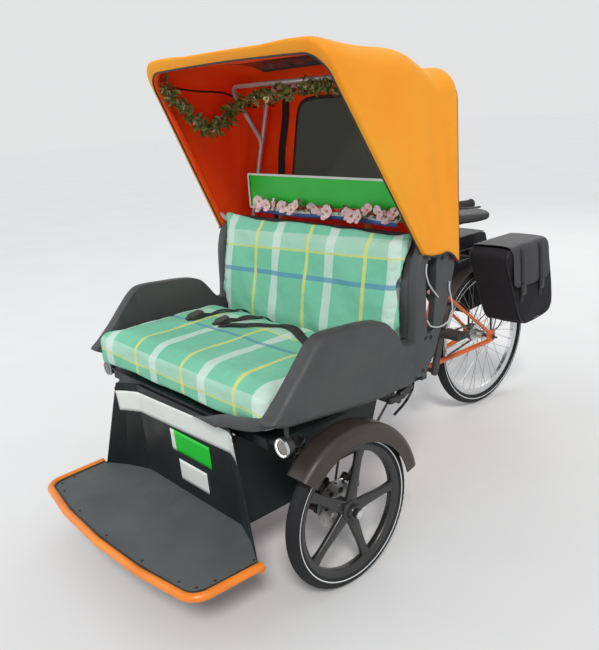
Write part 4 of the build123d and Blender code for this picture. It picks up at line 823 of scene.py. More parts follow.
def hood_line(rows, count_leg=44, count_turn=12, count_top=60, corner=0.072):
    """For each row, the line up one leg, round the corner, across the roof and down again. A leg runs straight
    from hem to corner, the roof is lifted a little in its middle, and both are drawn in between the bows."""
    low_y, low_z, high_y, high_z, low_half, high_half = (c[:, None] for c in rows.T)
    rise = np.hypot(high_y - low_y, high_z - low_z)
    leg = np.linspace(0, 1, count_leg)[None, :-1]
    height = leg * (rise - corner) / rise
    half = low_half + (high_half - low_half) * height
    turn = np.linspace(0, math.pi / 2, count_turn)[None, :-1]
    turn_half = high_half - corner + corner * np.cos(turn) + (low_half - high_half) * corner / rise * (1 - np.sin(turn))
    turn_height = (rise - corner + corner * np.sin(turn)) / rise
    top = np.linspace(1, 0, count_top // 2)[None, :]
    top_half = (high_half - corner) * top
    camber = 0.006 * (1 - top**2)
    side = np.concatenate([half, turn_half, top_half], 1)
    share = np.concatenate([np.broadcast_to(height, half.shape), turn_height, np.ones_like(top_half)], 1)
    lift = np.concatenate([np.zeros_like(half), np.zeros_like(turn_half), np.broadcast_to(camber, top_half.shape)], 1)
    y = low_y + (high_y - low_y) * share
    z = low_z + (high_z - low_z) * share + lift
    right = np.stack([-side, y, z], -1)
    left = np.stack([side, y, z], -1)[:, ::-1][:, 1:]
    return np.concatenate([right, left], 1)


def roof_window_span(grid):
    """The rows and columns of the hood's grid that lie inside the roof window."""
    middle = grid[:, grid.shape[1] // 2, 1]
    rows = np.flatnonzero((middle > 0.262) & (middle < 0.455))
    columns = np.flatnonzero((np.abs(grid[rows[0], :, 0]) < 0.285) & (grid[rows[0], :, 2] > 1.4))
    return slice(rows[0], rows[-1] + 1), slice(columns[0], columns[-1] + 1)


def hood():
    """The cloth from the sleeve round the front bow to the back edge, and the flat back panel with its window,
    as one sheet. The sides hang slack between the bows, and the roof sags a little."""
    fine = through(hood_rows, hood_fine)
    grid = hood_line(fine)
    rows, columns = grid.shape[:2]
    along_rows = np.linspace(0, 1, rows)[:, None]
    round_line = np.linspace(0, 1, columns)[None, :]
    leg_share = np.clip(1 - np.abs(round_line - 0.5) * 2, 0, 1)
    side_mask = np.sin(np.clip((0.62 - leg_share) / 0.62, 0, 1) * math.pi)
    free = np.sin(np.clip((along_rows - 0.40) / 0.60, 0, 1) * math.pi)
    slack = 0.007 * free * side_mask
    ripple = 0.0016 * np.sin(along_rows * 34 + 5 * leg_share) * side_mask * free
    grid[..., 0] -= np.sign(grid[..., 0]) * (slack + ripple)
    roof_mask = np.clip((leg_share - 0.72) / 0.1, 0, 1)
    sag = 0.010 * np.sin(np.clip((along_rows - 0.16) / 0.5, 0, 1) * math.pi) * roof_mask
    grid[..., 2] -= sag * np.sin(round_line * math.pi) ** 2
    step_row = np.linalg.norm(np.diff(grid, axis=0), axis=-1).mean(1)
    step_column = np.linalg.norm(np.diff(grid, axis=1), axis=-1).mean(0)
    v = np.concatenate([[0], np.cumsum(step_row)])[:, None] + np.zeros((1, columns))
    u = np.concatenate([[0], np.cumsum(step_column)])[None, :] + np.zeros((rows, 1))
    sheet = surface(grid, uv=np.stack([u, v], -1))
    span = roof_window_span(grid)
    r, c = np.divmod(np.arange(len(sheet.faces)), columns - 1)
    seen = (r >= span[0].start) & (r < span[0].stop - 1) & (c >= span[1].start) & (c < span[1].stop - 1)
    sleeve = (r < fine_row(3)) & ~seen
    parts = [
        sheet._replace(faces=sheet.faces[~seen & ~sleeve]),
        sheet._replace(faces=sheet.faces[sleeve], slot=1),
        sheet._replace(faces=sheet.faces[seen], slot=3),
    ]
    edge = grid[-1]
    hem = np.linspace(edge[-1], edge[0], 40)[1:-1]
    border = np.vstack([edge, hem])
    middle_z = 1.28
    angle = np.arctan2(border[:, 2] - middle_z, border[:, 0])
    half_x, half_z, corner = 0.300, 0.190, 8
    reach = (np.abs(np.cos(angle) / half_x) ** corner + np.abs(np.sin(angle) / half_z) ** corner) ** (-1 / corner)
    window_z = middle_z + reach * np.sin(angle)
    window = np.stack([reach * np.cos(angle), back_panel_y(window_z), window_z], -1)
    share = np.linspace(0, 1, 16)[:, None, None]
    panel = border[None] * (1 - share) + window[None] * share
    parts.append(surface(panel, close_columns=True, uv=panel[..., [0, 2]]))
    # Slots 1 and 2 carry the painted-shade copy of the hood cloth. They are the sleeve and the whole inner face that
    # the thickness adds.
    layers = [HOOD_OUT, HOOD_SHADED, HOOD_SHADED, SMOKED, SMOKED]
    cloth = piece("hood_sheet", parts, layers, "frame", ["hood_cloth"], sharp=55)
    thicken(cloth, 0.0016, 1)
    return grid, window


hood_grid, window_line = hood()


def hood_trim():
    """Black piping on the front edge, hems and corners, seams on the roof's corners, and the roof window's edge."""
    thin, cord = circle(0.0013, 6), circle(0.0034, 8)
    parts = bar(hood_grid[fine_row(3)], cord)
    for column in (0, -1):
        parts += bar(hood_grid[fine_row(4):, column], cord)
    for column in (hood_corner, -hood_corner - 1):
        inside = hood_grid[fine_row(6):fine_row(15), column]
        parts += bar(inside - np.array([0.004, 0, 0]) * np.sign(inside[:, :1]), cord)
    legs = hood_grid[-1]
    parts += bar(legs, thin)
    hem = np.linspace(legs[0], legs[-1], 30)
    parts += bar(hem, cord)
    rows, columns = roof_window_span(hood_grid)
    edge = np.vstack([
        hood_grid[rows.start, columns], hood_grid[rows, columns.stop - 1][1:],
        hood_grid[rows.stop - 1, columns][::-1][1:], hood_grid[rows, columns.start][::-1][1:-1],
    ])
    parts += bar(edge, rounded(0.010, 0.0016, 3, 10), closed=True)
    piece("hood_piping", parts, PIPING, "frame")
    strips = []
    for side in (-1, 1):
        z = np.linspace(1.496, 0.945, 24)
        middle = side * (0.374 + 0.004 * np.sin(z * 26))
        edges = [np.column_stack([middle + half, back_panel_y(z) - 0.0045, z]) for half in (-0.021, 0.021)]
        grid = np.stack(edges, 1)
        strips.append(surface(grid, uv=grid[..., [0, 2]]))
    band = piece("hood_side_bands", strips, WEBBING, "frame", outward=False)
    thicken(band, 0.0012, offset=0)
    rim = bar(window_line - [0, 0.003, 0], rounded(0.007, 0.0012, 3, 8), up=(0, 1, 0.19), closed=True)
    piece("window_binding", rim, PIPING, "frame")


hood_trim()

# Cushions under the plaid blanket.


def eased(value, low, high):
    """0 below low, 1 above high, and 3t^2 - 2t^3 between."""
    t = np.clip((value - low) / (high - low), 0, 1)
    return t * t * (3 - 2 * t)


def coordinates(mesh):
    """A mesh's points as an array."""
    points = np.empty(len(mesh.vertices) * 3, np.float32)
    mesh.vertices.foreach_get("co", points)
    return points.reshape(-1, 3).astype(float)


def evaluated(obj):
    """A new mesh of an object as its modifiers leave it."""
    graph = bpy.context.evaluated_depsgraph_get()
    graph.update()
    return bpy.data.meshes.new_from_object(obj.evaluated_get(graph))


def stuffed(name, node, voxel, cap, pressure, crown):
    """A soft copy of a solid: remeshed finely, blown up as cloth for 20 frames, each point's way held to a cap
    by d -> d cap tanh(|d| / cap) / |d|, and the whole brought back to the solid's box, higher by its crown."""
    shape = bmesh.new()
    shape.from_mesh(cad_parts[node].data)
    bmesh.ops.remove_doubles(shape, verts=shape.verts, dist=1e-5)
    mesh = bpy.data.meshes.new(name)
    shape.to_mesh(mesh)
    shape.free()
    points = coordinates(mesh)
    middle = (points.min(0) + points.max(0)) / 2
    half = (points.max(0) - points.min(0)) / 2
    shrunk = 0.005
    points = middle + (points - middle) * (1 - shrunk / half)
    mesh.vertices.foreach_set("co", points.astype(np.float32).ravel())
    rough = bpy.data.objects.new(name + "_rough", mesh)
    bpy.context.scene.collection.objects.link(rough)
    grid = rough.modifiers.new("grid", "REMESH")
    grid.mode, grid.voxel_size, grid.use_smooth_shade = "VOXEL", voxel, True
    soft = bpy.data.objects.new(name, evaluated(rough))
    bpy.data.objects.remove(rough)
    bpy.context.scene.collection.objects.link(soft)
    start = coordinates(soft.data)
    box_low, box_high = start.min(0), start.max(0) + np.array([0, 0, crown])
    cloth = soft.modifiers.new("filling", "CLOTH")
    settings = cloth.settings
    settings.use_pressure, settings.uniform_pressure_force = True, pressure
    settings.tension_stiffness = settings.compression_stiffness = 12
    settings.bending_stiffness, settings.quality = 0.6, 4
    settings.effector_weights.gravity = 0
    for number in range(1, 21):
        bpy.context.scene.frame_set(number)
    filled = evaluated(soft)
    soft.modifiers.remove(cloth)
    way = coordinates(filled) - start
    length = np.linalg.norm(way, axis=1, keepdims=True)
    start = start + way * cap * np.tanh(length / cap) / np.maximum(length, 1e-9)
    low, high = start.min(0), start.max(0)
    start = box_low + (start - low) * (box_high - box_low) / (high - low)
    bpy.context.scene.frame_set(1)
    return soft, start


def draped(obj, points, uv, body):
    """Writes the final points and the cloth's own coordinates, and rounds the mesh once more."""
    mesh = obj.data
    mesh.vertices.foreach_set("co", points.astype(np.float32).ravel())
    mesh.materials.clear()
    mesh.materials.append(PLAID)
    corner = np.empty(len(mesh.loops), np.int32)
    mesh.loops.foreach_get("vertex_index", corner)
    mesh.uv_layers.new(name="cut").data.foreach_set("uv", uv[corner].astype(np.float32).ravel())
    mesh.polygons.foreach_set("use_smooth", np.ones(len(mesh.polygons), bool))
    mesh.update()
    fine = obj.modifiers.new("fine", "SUBSURF")
    fine.levels = fine.render_levels = 1
    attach(obj, body)


def wrinkles(x, y, z):
    """Shallow folds of a blanket that slips over a cushion: three long waves with drifting phases."""
    return (
        0.0022 * np.sin(19 * x + 7 * y + 3 * np.sin(6 * y + 4 * z))
        + 0.0016 * np.sin(-31 * x + 16 * y + 9 * z + 2 * np.sin(9 * x))
        + 0.0009 * np.sin(57 * x + 41 * y - 38 * z)
    )


SEAT_TOP = 0.7023


def hem_height(x):
    """Height of the blanket's front hem: low on the right, higher towards the left."""
    return np.interp(x, [-0.47, -0.30, 0.107, 0.33, 0.42, 0.47], [0.558, 0.560, 0.588, 0.603, 0.618, 0.633])


def wing_front(z):
    """How far forward the seat back's wings reach at each height."""
    return np.interp(z, [0.70, 0.73, 0.804, 0.884, 0.953, 1.006], [0.335, 0.325, 0.326, 0.334, 0.358, 0.389])


def seat_blanket():
    """The seat cushion with the blanket over it: full, a little folded, and tucked in below its sloping hem."""
    obj, points = stuffed("seat_blanket", "seat_cushion", 0.009, 0.024, 4.0, 0.016)
    x, y, z = points[:, 0], points[:, 1] - FRONT, points[:, 2]
    top = eased(z, SEAT_TOP - 0.05, SEAT_TOP - 0.01)
    fold = wrinkles(x, y, z)
    z = z + fold * top
    y = y + fold * 0.8 * (1 - top) * eased(-y, 0.15, 0.25)
    trough = 0.010 * np.exp(-(((y - 0.262) / 0.05) ** 2)) * top
    z = z - trough
    below = 1 - eased(z, hem_height(x) - 0.008, hem_height(x) + 0.008)
    y = np.where(y < -0.2, y + below * np.maximum(-0.258 - y, 0), y)
    z = np.clip(z, 0.5557, 0.722)
    x = np.clip(x, -0.4735, 0.4735)
    x = x * (1 + 0.10 * eased(-y, 0.19, 0.24) * eased(-x, 0.30, 0.46))
    y = np.minimum(y, 0.2635)
    over = np.maximum(SEAT_TOP - z, 0)
    uv = np.stack([x, y - over * (y < -0.1)], -1)
    draped(obj, np.stack([x, y + FRONT, z], -1), uv, "frame")
    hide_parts("seat_cushion")
    return obj


def back_blanket():
    """The back cushion with the blanket over it and over its top."""
    obj, points = stuffed("back_blanket", "back_cushion", 0.008, 0.024, 4.0, 0.006)
    x, y, z = points[:, 0], points[:, 1] - FRONT, points[:, 2]
    fold = wrinkles(x + 0.3, z, y)
    front = eased(-y, -0.36, -0.30)
    y = y + fold * front
    top = eased(z, 1.0, 1.04)
    z = z + fold * top + 0.004 * np.sin(13 * x + 1.0) * top
    over = 0.030 * eased(y, 0.372, 0.392) * eased(z, 1.032, 1.040)
    y = np.where(z < 1.032, np.minimum(y, 0.3945), y + over)
    z = np.where(y > 0.396, np.maximum(z, 1.0325), z)
    x = np.clip(x, -0.4555, 0.4555)
    x = x * (1 + 0.085 * eased(wing_front(z) - y, 0.004, 0.014) * eased(z, 0.70, 0.76))
    uv = np.stack([x, z - 0.038 * (x + 0.42)], -1)
    draped(obj, np.stack([x, y + FRONT, z], -1), uv, "frame")
    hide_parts("back_cushion")


seat = seat_blanket()
back_blanket()


def tub_lip():
    """The seat tub's moulded lip at the front left corner: a rounded wall that rises with the blanket's hem
    and runs round into the seat side."""
    route = [(0.10, -0.2600), (0.20, -0.2655), (0.30, -0.2680), (0.375, -0.267), (0.425, -0.257), (0.455, -0.236),
             (0.4685, -0.205)]
    route = through(route, 60)
    heading = unit(np.gradient(route, axis=0))
    out = np.stack([heading[:, 1], -heading[:, 0]], -1)
    high = PAN_TOP + 0.002 + (hem_height(route[:, 0]) - PAN_TOP + 0.002) * eased(route[:, 0], 0.10, 0.33)
    low = np.maximum(PAN_TOP, high - 0.040)
    section = [(0.000, 0.0), (0.010, 0.0), (0.0125, 0.35), (0.012, 0.7), (0.009, 0.93), (0.005, 1.0), (0.001, 0.96),
               (0.0, 0.8)]
    rows = [np.column_stack([route + out * reach, low + (high - low) * share]) for reach, share in section]
    piece("tub_lip", skin(np.stack(rows, 1)), SHELL_GREY, "frame")


tub_lip()

# Lap belts.


def top_of(obj, places):
    """Height of a soft piece under each place: its points near by, weighed by exp(-(d / 8 mm)^2)."""
    points = coordinates(obj.data)
    points = points[points[:, 2] > SEAT_TOP - 0.03]
    gap = ((places[:, None, :2] - points[None, :, :2] + np.array([0, FRONT])) ** 2).sum(-1)
    weight = np.exp(-gap / 0.008**2) + 1e-12
    return (weight * points[None, :, 2]).sum(1) / weight.sum(1)


def belts():
    """Three straps laid on the blanket, two with a buckle at the free end."""
    rows = [
        # name, the route's points, the buckle's half length
        ("left_strap", [(-0.215, 0.246), (-0.232, 0.180), (-0.262, 0.100), (-0.270, 0.030)], 0.029),
        ("middle_strap", [(-0.090, 0.246), (-0.098, 0.190), (-0.128, 0.120), (-0.150, 0.062)], 0.026),
        ("long_strap", [(-0.130, 0.030), (-0.052, 0.070), (0.040, 0.138), (0.120, 0.150), (0.220, 0.112),
                        (0.320, 0.064), (0.450, 0.024)], 0),
    ]
    belt_w = 0.034
    for name, route, buckle in rows:
        line = through(route, 60)
        heading = unit(np.gradient(line, axis=0))
        side = np.stack([-heading[:, 1], heading[:, 0]], -1)
        across = np.linspace(-belt_w / 2, belt_w / 2, 5)
        flat = line[:, None] + across[None, :, None] * side[:, None]
        height = top_of(seat, flat.reshape(-1, 2)).reshape(flat.shape[:2])
        height = height + 0.0034 + 0.0075 * np.abs(np.sin(np.linspace(0, 9, len(line))))[:, None]
        grid = np.concatenate([flat, height[..., None]], -1)
        run = float(np.linalg.norm(np.diff(grid[:, 2], axis=0), axis=1).sum())
        distance = np.linspace(0, run, len(line))[:, None] + np.zeros((1, 5))
        uv = np.stack([np.broadcast_to(across, distance.shape), distance], -1)
        strap = piece(f"belt_{name}", [surface(grid, uv=uv)], WEBBING, "frame", outward=False,
                      replaced=["seat_belts"] if name == "left_strap" else ())
        thicken(strap, 0.0016)
        extras = []
        if buckle:
            ahead = unit(grid[-1, 2] - grid[-6, 2])
            tip = grid[-1, 2] + [0, 0, 0.007]
            b = np.array([-ahead[1], ahead[0], 0.0])
            up = np.cross(ahead, b)
            body = slab(tip + ahead * 0.004, ahead, b, up, (buckle, 0.023, 0.0085), 4, 0.3)
            body += slab(tip + ahead * (buckle + 0.006), ahead, b, up, (0.010, 0.012, 0.004), 4, 0.3)
            body += slab(tip + up * 0.0066, ahead, b, up, (buckle * 0.55, 0.011, 0.0012), 5, 0.3)
            extras = [piece(f"buckle_{name}", body, SADDLE_BLACK, "frame")]


belts()

# Rider's end.


def saddle_cover():
    """A saddle: superellipse rings along it, whose half width is the plan's (two round rear corners and a
    narrow nose) and whose height swells towards the rear."""
    t = np.linspace(0, 1, 56)
    middle_y = 1.1855
    y = -0.084 + 0.282 * (0.5 - 0.5 * np.cos(math.pi * t))
    half = np.interp(y, [-0.084, -0.080, -0.070, -0.040, 0.000, 0.050, 0.100, 0.140, 0.165, 0.185, 0.194, 0.198],
                     [0.006, 0.014, 0.020, 0.024, 0.031, 0.048, 0.078, 0.096, 0.097, 0.085, 0.070, 0.052])
    half = np.convolve(np.pad(half, 2, mode="edge"), np.ones(5) / 5, "valid")
    end = np.clip(1 - np.abs(2 * t - 1) ** 9, 0.05, 1) ** 0.5
    high = (0.020 + 0.004 * np.sin((y + 0.084) * 9)) * end
    middle = 0.9235 - 0.006 * np.sin(np.clip((y + 0.02) / 0.2, 0, 1) * math.pi)
    a = np.linspace(0, 2 * math.pi, 40, endpoint=False)
    c, r = np.cos(a), np.sin(a)
    across = np.sign(c) * np.abs(c) ** (2 / 2.6)
    up = np.where(r > 0, np.abs(r) ** (2 / 2.3), -(np.abs(r) ** (2 / 4)) * 0.95)
    dip = 1 - 0.16 * (np.abs(across) < 0.22) * (up > 0)
    z = middle[:, None] + high[:, None] * up * dip
    grid = np.stack([half[:, None] * across, np.repeat(middle_y + y[:, None], 40, 1), z], -1)
    seam = np.stack([half * 0.9447, middle_y + y, middle - high * 0.35], -1)
    parts = skin(grid)
    for side in (-1, 1):
        parts += bar(seam[3:-3] * np.array([side, 1, 1]), circle(0.0016, 6), slot=1)
    obj = piece("saddle_cover", parts, [SADDLE_BLACK, PIPING], "frame", ["saddle"], sharp=60)


saddle_cover()


def grips():
    """Rubber grips: a turned sleeve with ribs and an end flange, along each end of the handlebar."""
    parts = []
    run = np.linspace(0, 1, 73)
    ribs = 0.0150 + 0.0009 * np.sign(np.sin(run * 46))
    profile = np.stack([0.047 + 0.094 * run, ribs], -1)
    profile[0, 1], profile[-1, 1] = 0.0185, 0.0185
    flange, end = [(0.0445, 0.0115), (0.0445, 0.0185)], [(0.1425, 0.0185), (0.1445, 0.016), (0.1450, 0.006)]
    profile = np.vstack([flange, profile, end])
    for side in (-1, 1):
        knee = np.array([side * 0.285, 0.790, 1.050])
        tip = np.array([side * 0.300, 0.930, 1.045])
        parts += turned(knee, tip - knee, profile, 28)
    piece("grip_sleeves", parts, GRIP_RUBBER, "column", ["grips"], sharp=30)


grips()


def pannier(side):
    """A soft bag: its outline, smoothed, carried outwards with round edges and a crowned outer face."""
    outline = through(
        [(-0.186, 0.010), (-0.170, 0.046), (-0.130, 0.058), (0.000, 0.060), (0.125, 0.057), (0.150, 0.036),
         (0.165, -0.040), (0.186, -0.150), (0.194, -0.235), (0.184, -0.270), (0.156, -0.290), (0.080, -0.301),
         (-0.020, -0.304), (-0.052, -0.292), (-0.078, -0.262), (-0.108, -0.190), (-0.150, -0.080)],
        160, closed=True,
    )
    middle = np.array([0.01, -0.11])
    out = outline - middle
    inner = 0.0673
    rows = np.array([
        # depth from the inner face, share of the outline
        (0.0, 0.02), (0.0, 0.6), (0.0, 0.95), (0.004, 0.985), (0.016, 1.0), (0.09, 1.012), (0.155, 1.0),
        (0.174, 0.988), (0.185, 0.962), (0.1905, 0.92), (0.192, 0.88), (0.196, 0.7), (0.199, 0.4), (0.200, 0.04),
    ])
    depth = rows[:, :1]
    place = middle + out[None] * rows[:, 1, None, None]
    wave = 0.0035 * np.sin(place[..., 0] * 38 + 2 * np.sin(place[..., 1] * 17)) * (depth > 0.15)
    wave = wave + 0.0025 * np.sin(place[..., 1] * 31 + 1) * (depth > 0.15)
    grid = np.stack([side * (inner + depth + wave * 0.7), WHEELBASE + place[..., 0], BAG_Z + place[..., 1]], -1)
    uv = np.stack([place[..., 0], place[..., 1] + depth], -1)
    parts = [surface(grid, close_columns=True, uv=uv), lid(grid[0]), lid(grid[-1])]
    for depth_at, size in ((0.186, 0.966), (0.008, 0.995)):
        line = set_at(side * (inner + depth_at), middle + out * size + [WHEELBASE, BAG_Z])
        parts += bar(line, circle(0.0032, 6), up=ACROSS, closed=True, slot=2)
    return parts, inner


def bag_flap(side, inner):
    """The bag's flap: a sheet that crosses the top and hangs down the outer face, its lower corners rounded."""
    eta = np.linspace(-1, 1, 40)
    path = [(0.004, 0.0635), (0.05, 0.066), (0.12, 0.067), (0.172, 0.064), (0.190, 0.052), (0.199, 0.030),
            (0.202, -0.02), (0.2045, -0.075), (0.2065, -0.115)]
    line = through(path, 44)
    drop = 1 - 0.17 * np.abs(eta) ** 8
    fold = 0.03
    hang = np.where(line[:, 1, None] < fold, fold + (line[:, 1, None] - fold) * drop[None], line[:, 1, None])
    width = np.interp(line[:, 0], [0, 0.2], [0.148, 0.139])[:, None]
    y = -0.012 + eta[None] * width
    lift = 0.0016 * np.sin(eta * 7 + 1)[None] * (line[:, 0, None] > 0.18)
    grid = np.stack([side * (inner + line[:, 0, None] + lift), WHEELBASE + y, BAG_Z + hang], -1)
    return surface(grid, uv=np.stack([y, hang + line[:, 0, None]], -1), slot=1)


def bags():
    """Both bags with flaps, two closing straps a side and their buckles."""
    parts, flaps, straps, buckles = [], [], [], []
    for side in (-1, 1):
        body, inner = pannier(side)
        parts += body
        flaps.append(bag_flap(side, inner))
        for y in (-0.085, 0.062):
            z = np.linspace(0.060, -0.185, 30)
            x = np.interp(-z, [-0.06, -0.045, -0.02, 0.10, 0.185], [0.180, 0.199, 0.2055, 0.2100, 0.2040])
            line = np.column_stack([side * (inner + x), np.full(30, WHEELBASE + y), BAG_Z + z])
            straps += bar(line, rounded(0.0115, 0.0011, 4, 10), up=(side, 0, 0.01))
            spot = np.array([side * (inner + 0.2115), WHEELBASE + y, BAG_Z - 0.128])
            raised = spot + [side * 0.004, 0, 0.002]
            for place, half in ((spot, (0.0175, 0.024, 0.0045)), (raised, (0.011, 0.014, 0.003))):
                buckles += slab(place, (0, 1, 0), (0, 0, 1), (side, 0, 0), half, 5, 0.3)
    bodies = piece("bag_bodies", parts, [BAG_CLOTH, BAG_FLAP, PIPING], "frame", ["panniers"], sharp=60)
    cover = piece("bag_flaps", flaps, [BAG_CLOTH, BAG_FLAP], "frame", outward=False)
    thicken(cover, 0.0018, offset=1)
    extras = [piece("bag_straps", straps, WEBBING, "frame")]
    extras.append(piece("bag_buckles", buckles, SADDLE_BLACK, "frame"))


bags()

# Chain.


def chain_line(count, first, ring, second, sprocket):
    """Even steps along a belt round two circles: points, found from the distance along it, on the upper run,
    round the rear circle, along the lower run and round the front circle, and the belt's length."""
    first, second = np.asarray(first), np.asarray(second)
    span = second - first
    gap = np.linalg.norm(span)
    lean = math.atan2(span[1], span[0])
    tilt = math.asin((ring - sprocket) / gap)
    straight = gap * math.cos(tilt)
    arcs = (sprocket * (math.pi - 2 * tilt), ring * (math.pi + 2 * tilt))
    total = 2 * straight + sum(arcs)
    s = (np.arange(count) / count * total)[:, None]
    up = lean + math.pi / 2 - tilt
    down = lean - math.pi / 2 + tilt

    def on(centre, radius, angle):
        return centre + radius * np.concatenate([np.cos(angle), np.sin(angle)], -1)

    ends = np.cumsum([straight, arcs[0], straight])
    leave, reach = np.full((1, 1), up), np.full((1, 1), down)
    share, back = s / straight, (s - ends[1]) / straight
    runs = [
        on(first, ring, leave) * (1 - share) + on(second, sprocket, leave) * share,
        on(second, sprocket, up - (s - ends[0]) / sprocket),
        on(second, sprocket, reach) * (1 - back) + on(first, ring, reach) * back,
    ]
    return np.select([s < end for end in ends], runs, on(first, ring, down - (s - ends[2]) / ring)), total


def copies(template, faces, places, along, across, up):
    """One small shape repeated: its three numbers are measured along, across and up at each place."""
    grid = places[:, None] + np.einsum("tk,kni->nti", template, np.stack([along, across, up]))
    shift = np.arange(len(places))[:, None, None] * len(template)
    faces = (faces[None] + shift).reshape(-1, faces.shape[1])
    return Part(grid.reshape(-1, 3), faces, np.zeros((grid.size // 3, 2)), 0)


def prism(outline, low, high):
    """Points and four-sided faces of a flat outline made thick; an even outline's ends are filled with strips."""
    n = len(outline)
    template = np.vstack([np.insert(outline, 1, d, axis=1) for d in (low, high)])
    i = np.arange(n)
    sides = np.stack([i, (i + 1) % n, (i + 1) % n + n, i + n], -1)
    k = np.arange(n // 2 - 1)
    strip = np.stack([k, k + 1, n - 2 - k, n - 1 - k], -1)
    return template, np.vstack([sides, strip, strip + n])


def chain_links():
    """Every link of the chain: a waisted plate each side, wide and narrow by turns, and a roller at each pin."""
    count = 100
    points, total = chain_line(count, (CRANK_Y, CRANK_Z), 0.0785, (WHEELBASE, REAR_R), 0.0405)
    following = np.roll(points, -1, 0)
    pitch = total / count
    heading = unit(following - points)
    place = set_at(CHAIN_X, (points + following) / 2)
    along = set_at(0, heading)
    across = np.tile([1.0, 0, 0], (count, 1))
    up = set_at(0, np.stack([-heading[:, 1], heading[:, 0]], -1))
    a = np.linspace(0, 2 * math.pi, 16, endpoint=False) + math.pi / 16
    waist = 0.0041 - 0.0009 * np.abs(np.sin(a)) ** 6
    outline = np.stack([np.sign(np.cos(a)) * pitch / 2 + 0.0040 * np.cos(a), waist * np.sin(a)], -1)
    parts = []
    for first, low, high in ((0, 0.0022, 0.0031), (1, 0.0031, 0.0040)):
        pick = slice(first, None, 2)
        for side in (-1, 1):
            template, faces = prism(outline, side * low, side * high)
            parts.append(copies(template, faces, place[pick], along[pick], across[pick], up[pick]))
    template, faces = prism(circle(0.0038, 8), -0.0024, 0.0024)
    parts.append(copies(template, faces, set_at(CHAIN_X, points), along, across, up))
    piece("chain_links", parts, CHAIN_STEEL, "frame", ["chain"], sharp=30)


chain_links()
chainring = toothed((0, CRANK_Y, CRANK_Z), CHAIN_X, 0.0026, 38, 0.0722, 0.0782, 0.064)
piece("chainring_teeth", chainring, CHAIN_STEEL, "crank")

# Lamps.


def lamps():
    """Head lamps: turned housing, bright bezel, reflector bowl and domed lens, on a short post under the seat
    side. The left one is lit."""
    housing = [(0, 0.006), (0.001, 0.014), (0.006, 0.0205), (0.014, 0.0245), (0.030, 0.0265), (0.034, 0.0272)]
    bezel = [(0.0335, 0.0272), (0.0345, 0.0288), (0.0415, 0.0288), (0.0425, 0.0272), (0.0420, 0.0250),
             (0.0385, 0.0245), (0.0335, 0.0250)]
    bowl = [(0.0395, 0.0246), (0.033, 0.0205), (0.026, 0.0145), (0.021, 0.0075), (0.0195, 0.002)]
    lens = [(0.0396, 0.0246), (0.0412, 0.0225), (0.0432, 0.0160), (0.0442, 0.0085), (0.0445, 0.0015)]
    ahead = (0, -1, 0)
    for side, name in SIDES:
        back = np.array([side * 0.503, -0.1985, 0.546])
        parts = turned(back, ahead, housing, 40) + turned(back, ahead, bezel, 40, slot=1, closed=True)
        parts += turned(back, ahead, bowl, 40, slot=2)[:1]
        post = np.linspace([side * 0.503, -0.216, 0.560], [side * 0.503, -0.216, 0.603], 4)
        parts += bar(post, circle(0.007, 14), up=(0, 1, 0))
        lit = name == "left"
        piece(f"lamp_{name}", parts, [SADDLE_BLACK, SILVER, GLOW if lit else DULL_BOWL], "frame",
              ["headlamps"] if lit else ())
        piece(f"lamp_lens_{name}", turned(back, ahead, lens, 40)[:1], LENS, "frame", outward=False)


DULL_BOWL = finish("lamp bowl", (0.75, 0.75, 0.74), 0.2, mottle=((0.6, 0.6, 0.6), 40, 0.4), Metallic=0.9)
lamps()

# Board, flowers and ribbon.


def board_trim():
    """White edge of the board, and a ribbon in three colours with a soft twist along its foot."""
    parts = []
    edges = [
        # x, z, half width, half height
        (0, 1.1965, 0.393, 0.004),
        (0, 1.0660, 0.393, 0.004),
        (-0.3905, 1.1313, 0.004, 0.064),
        (0.3905, 1.1313, 0.004, 0.064),
    ]
    for x, z, half_x, half_z in edges:
        parts += slab((x, 0.4160, z), (1, 0, 0), (0, 0, 1), (0, -1, 0), (half_x, half_z, 0.0006), 12)
    piece("board_edge", parts, WHITE, "frame")
    ribbon = []
    width = 0.046
    t = np.linspace(-0.35, 0.385, 120)[:, None]
    turn = 0.5 * np.sin(t * 15)
    for slot in range(3):
        share = (slot + np.linspace(0, 1, 3)) / 3
        z = 1.049 + width * share * np.cos(turn) + 0.003 * np.sin(t * 11)
        y = 0.4085 - 0.014 * share * np.sin(turn)
        ribbon.append(surface(np.stack([t + 0 * share, y, z], -1), slot=slot))
    band = piece("board_ribbon", ribbon, [BLUE, WHITE, RED], "frame", outward=False)
    thicken(band, 0.0006)


def petals(places, radius, seed):
    """Blossoms of five cupped petals: each petal is a small grid, turned round the blossom's own axis."""
    rng = np.random.default_rng(seed)
    n = len(places)
    facing = unit(np.column_stack([rng.normal(0, 0.35, n), np.full(n, -1.0), rng.normal(0.25, 0.3, n)]))
    side = unit(np.cross(facing, [0, 0, 1.0]))
    up = np.cross(side, facing)
    u, v = np.meshgrid(np.linspace(0.12, 1, 4), np.linspace(-1, 1, 4), indexing="ij")
    width = 0.52 * np.sin(np.clip(u, 0, 1) * 2.4) ** 0.7
    r = u * radius
    parts = []
    for k in range(5):
        turn = 2 * math.pi * k / 5 + rng.uniform(-0.15, 0.15)
        along = np.cos(turn) * r - np.sin(turn) * v * width * radius
        across = np.sin(turn) * r + np.cos(turn) * v * width * radius
        lift = radius * (0.35 * u**2 - 0.12 * v**2)
        grid = places[:, None, None]
        for share, way in ((along, side), (across, up), (lift, facing)):
            grid = grid + share[None, ..., None] * way[:, None, None]
        parts += [surface(blossom) for blossom in grid]
    heart = np.array([(0, 0.2), (0.16, 0.17), (0.22, 0.06)]) * radius
    for place, ahead in zip(places, facing):
        parts += turned(place - ahead * 0.001, ahead, heart, 8, slot=1)
    return parts


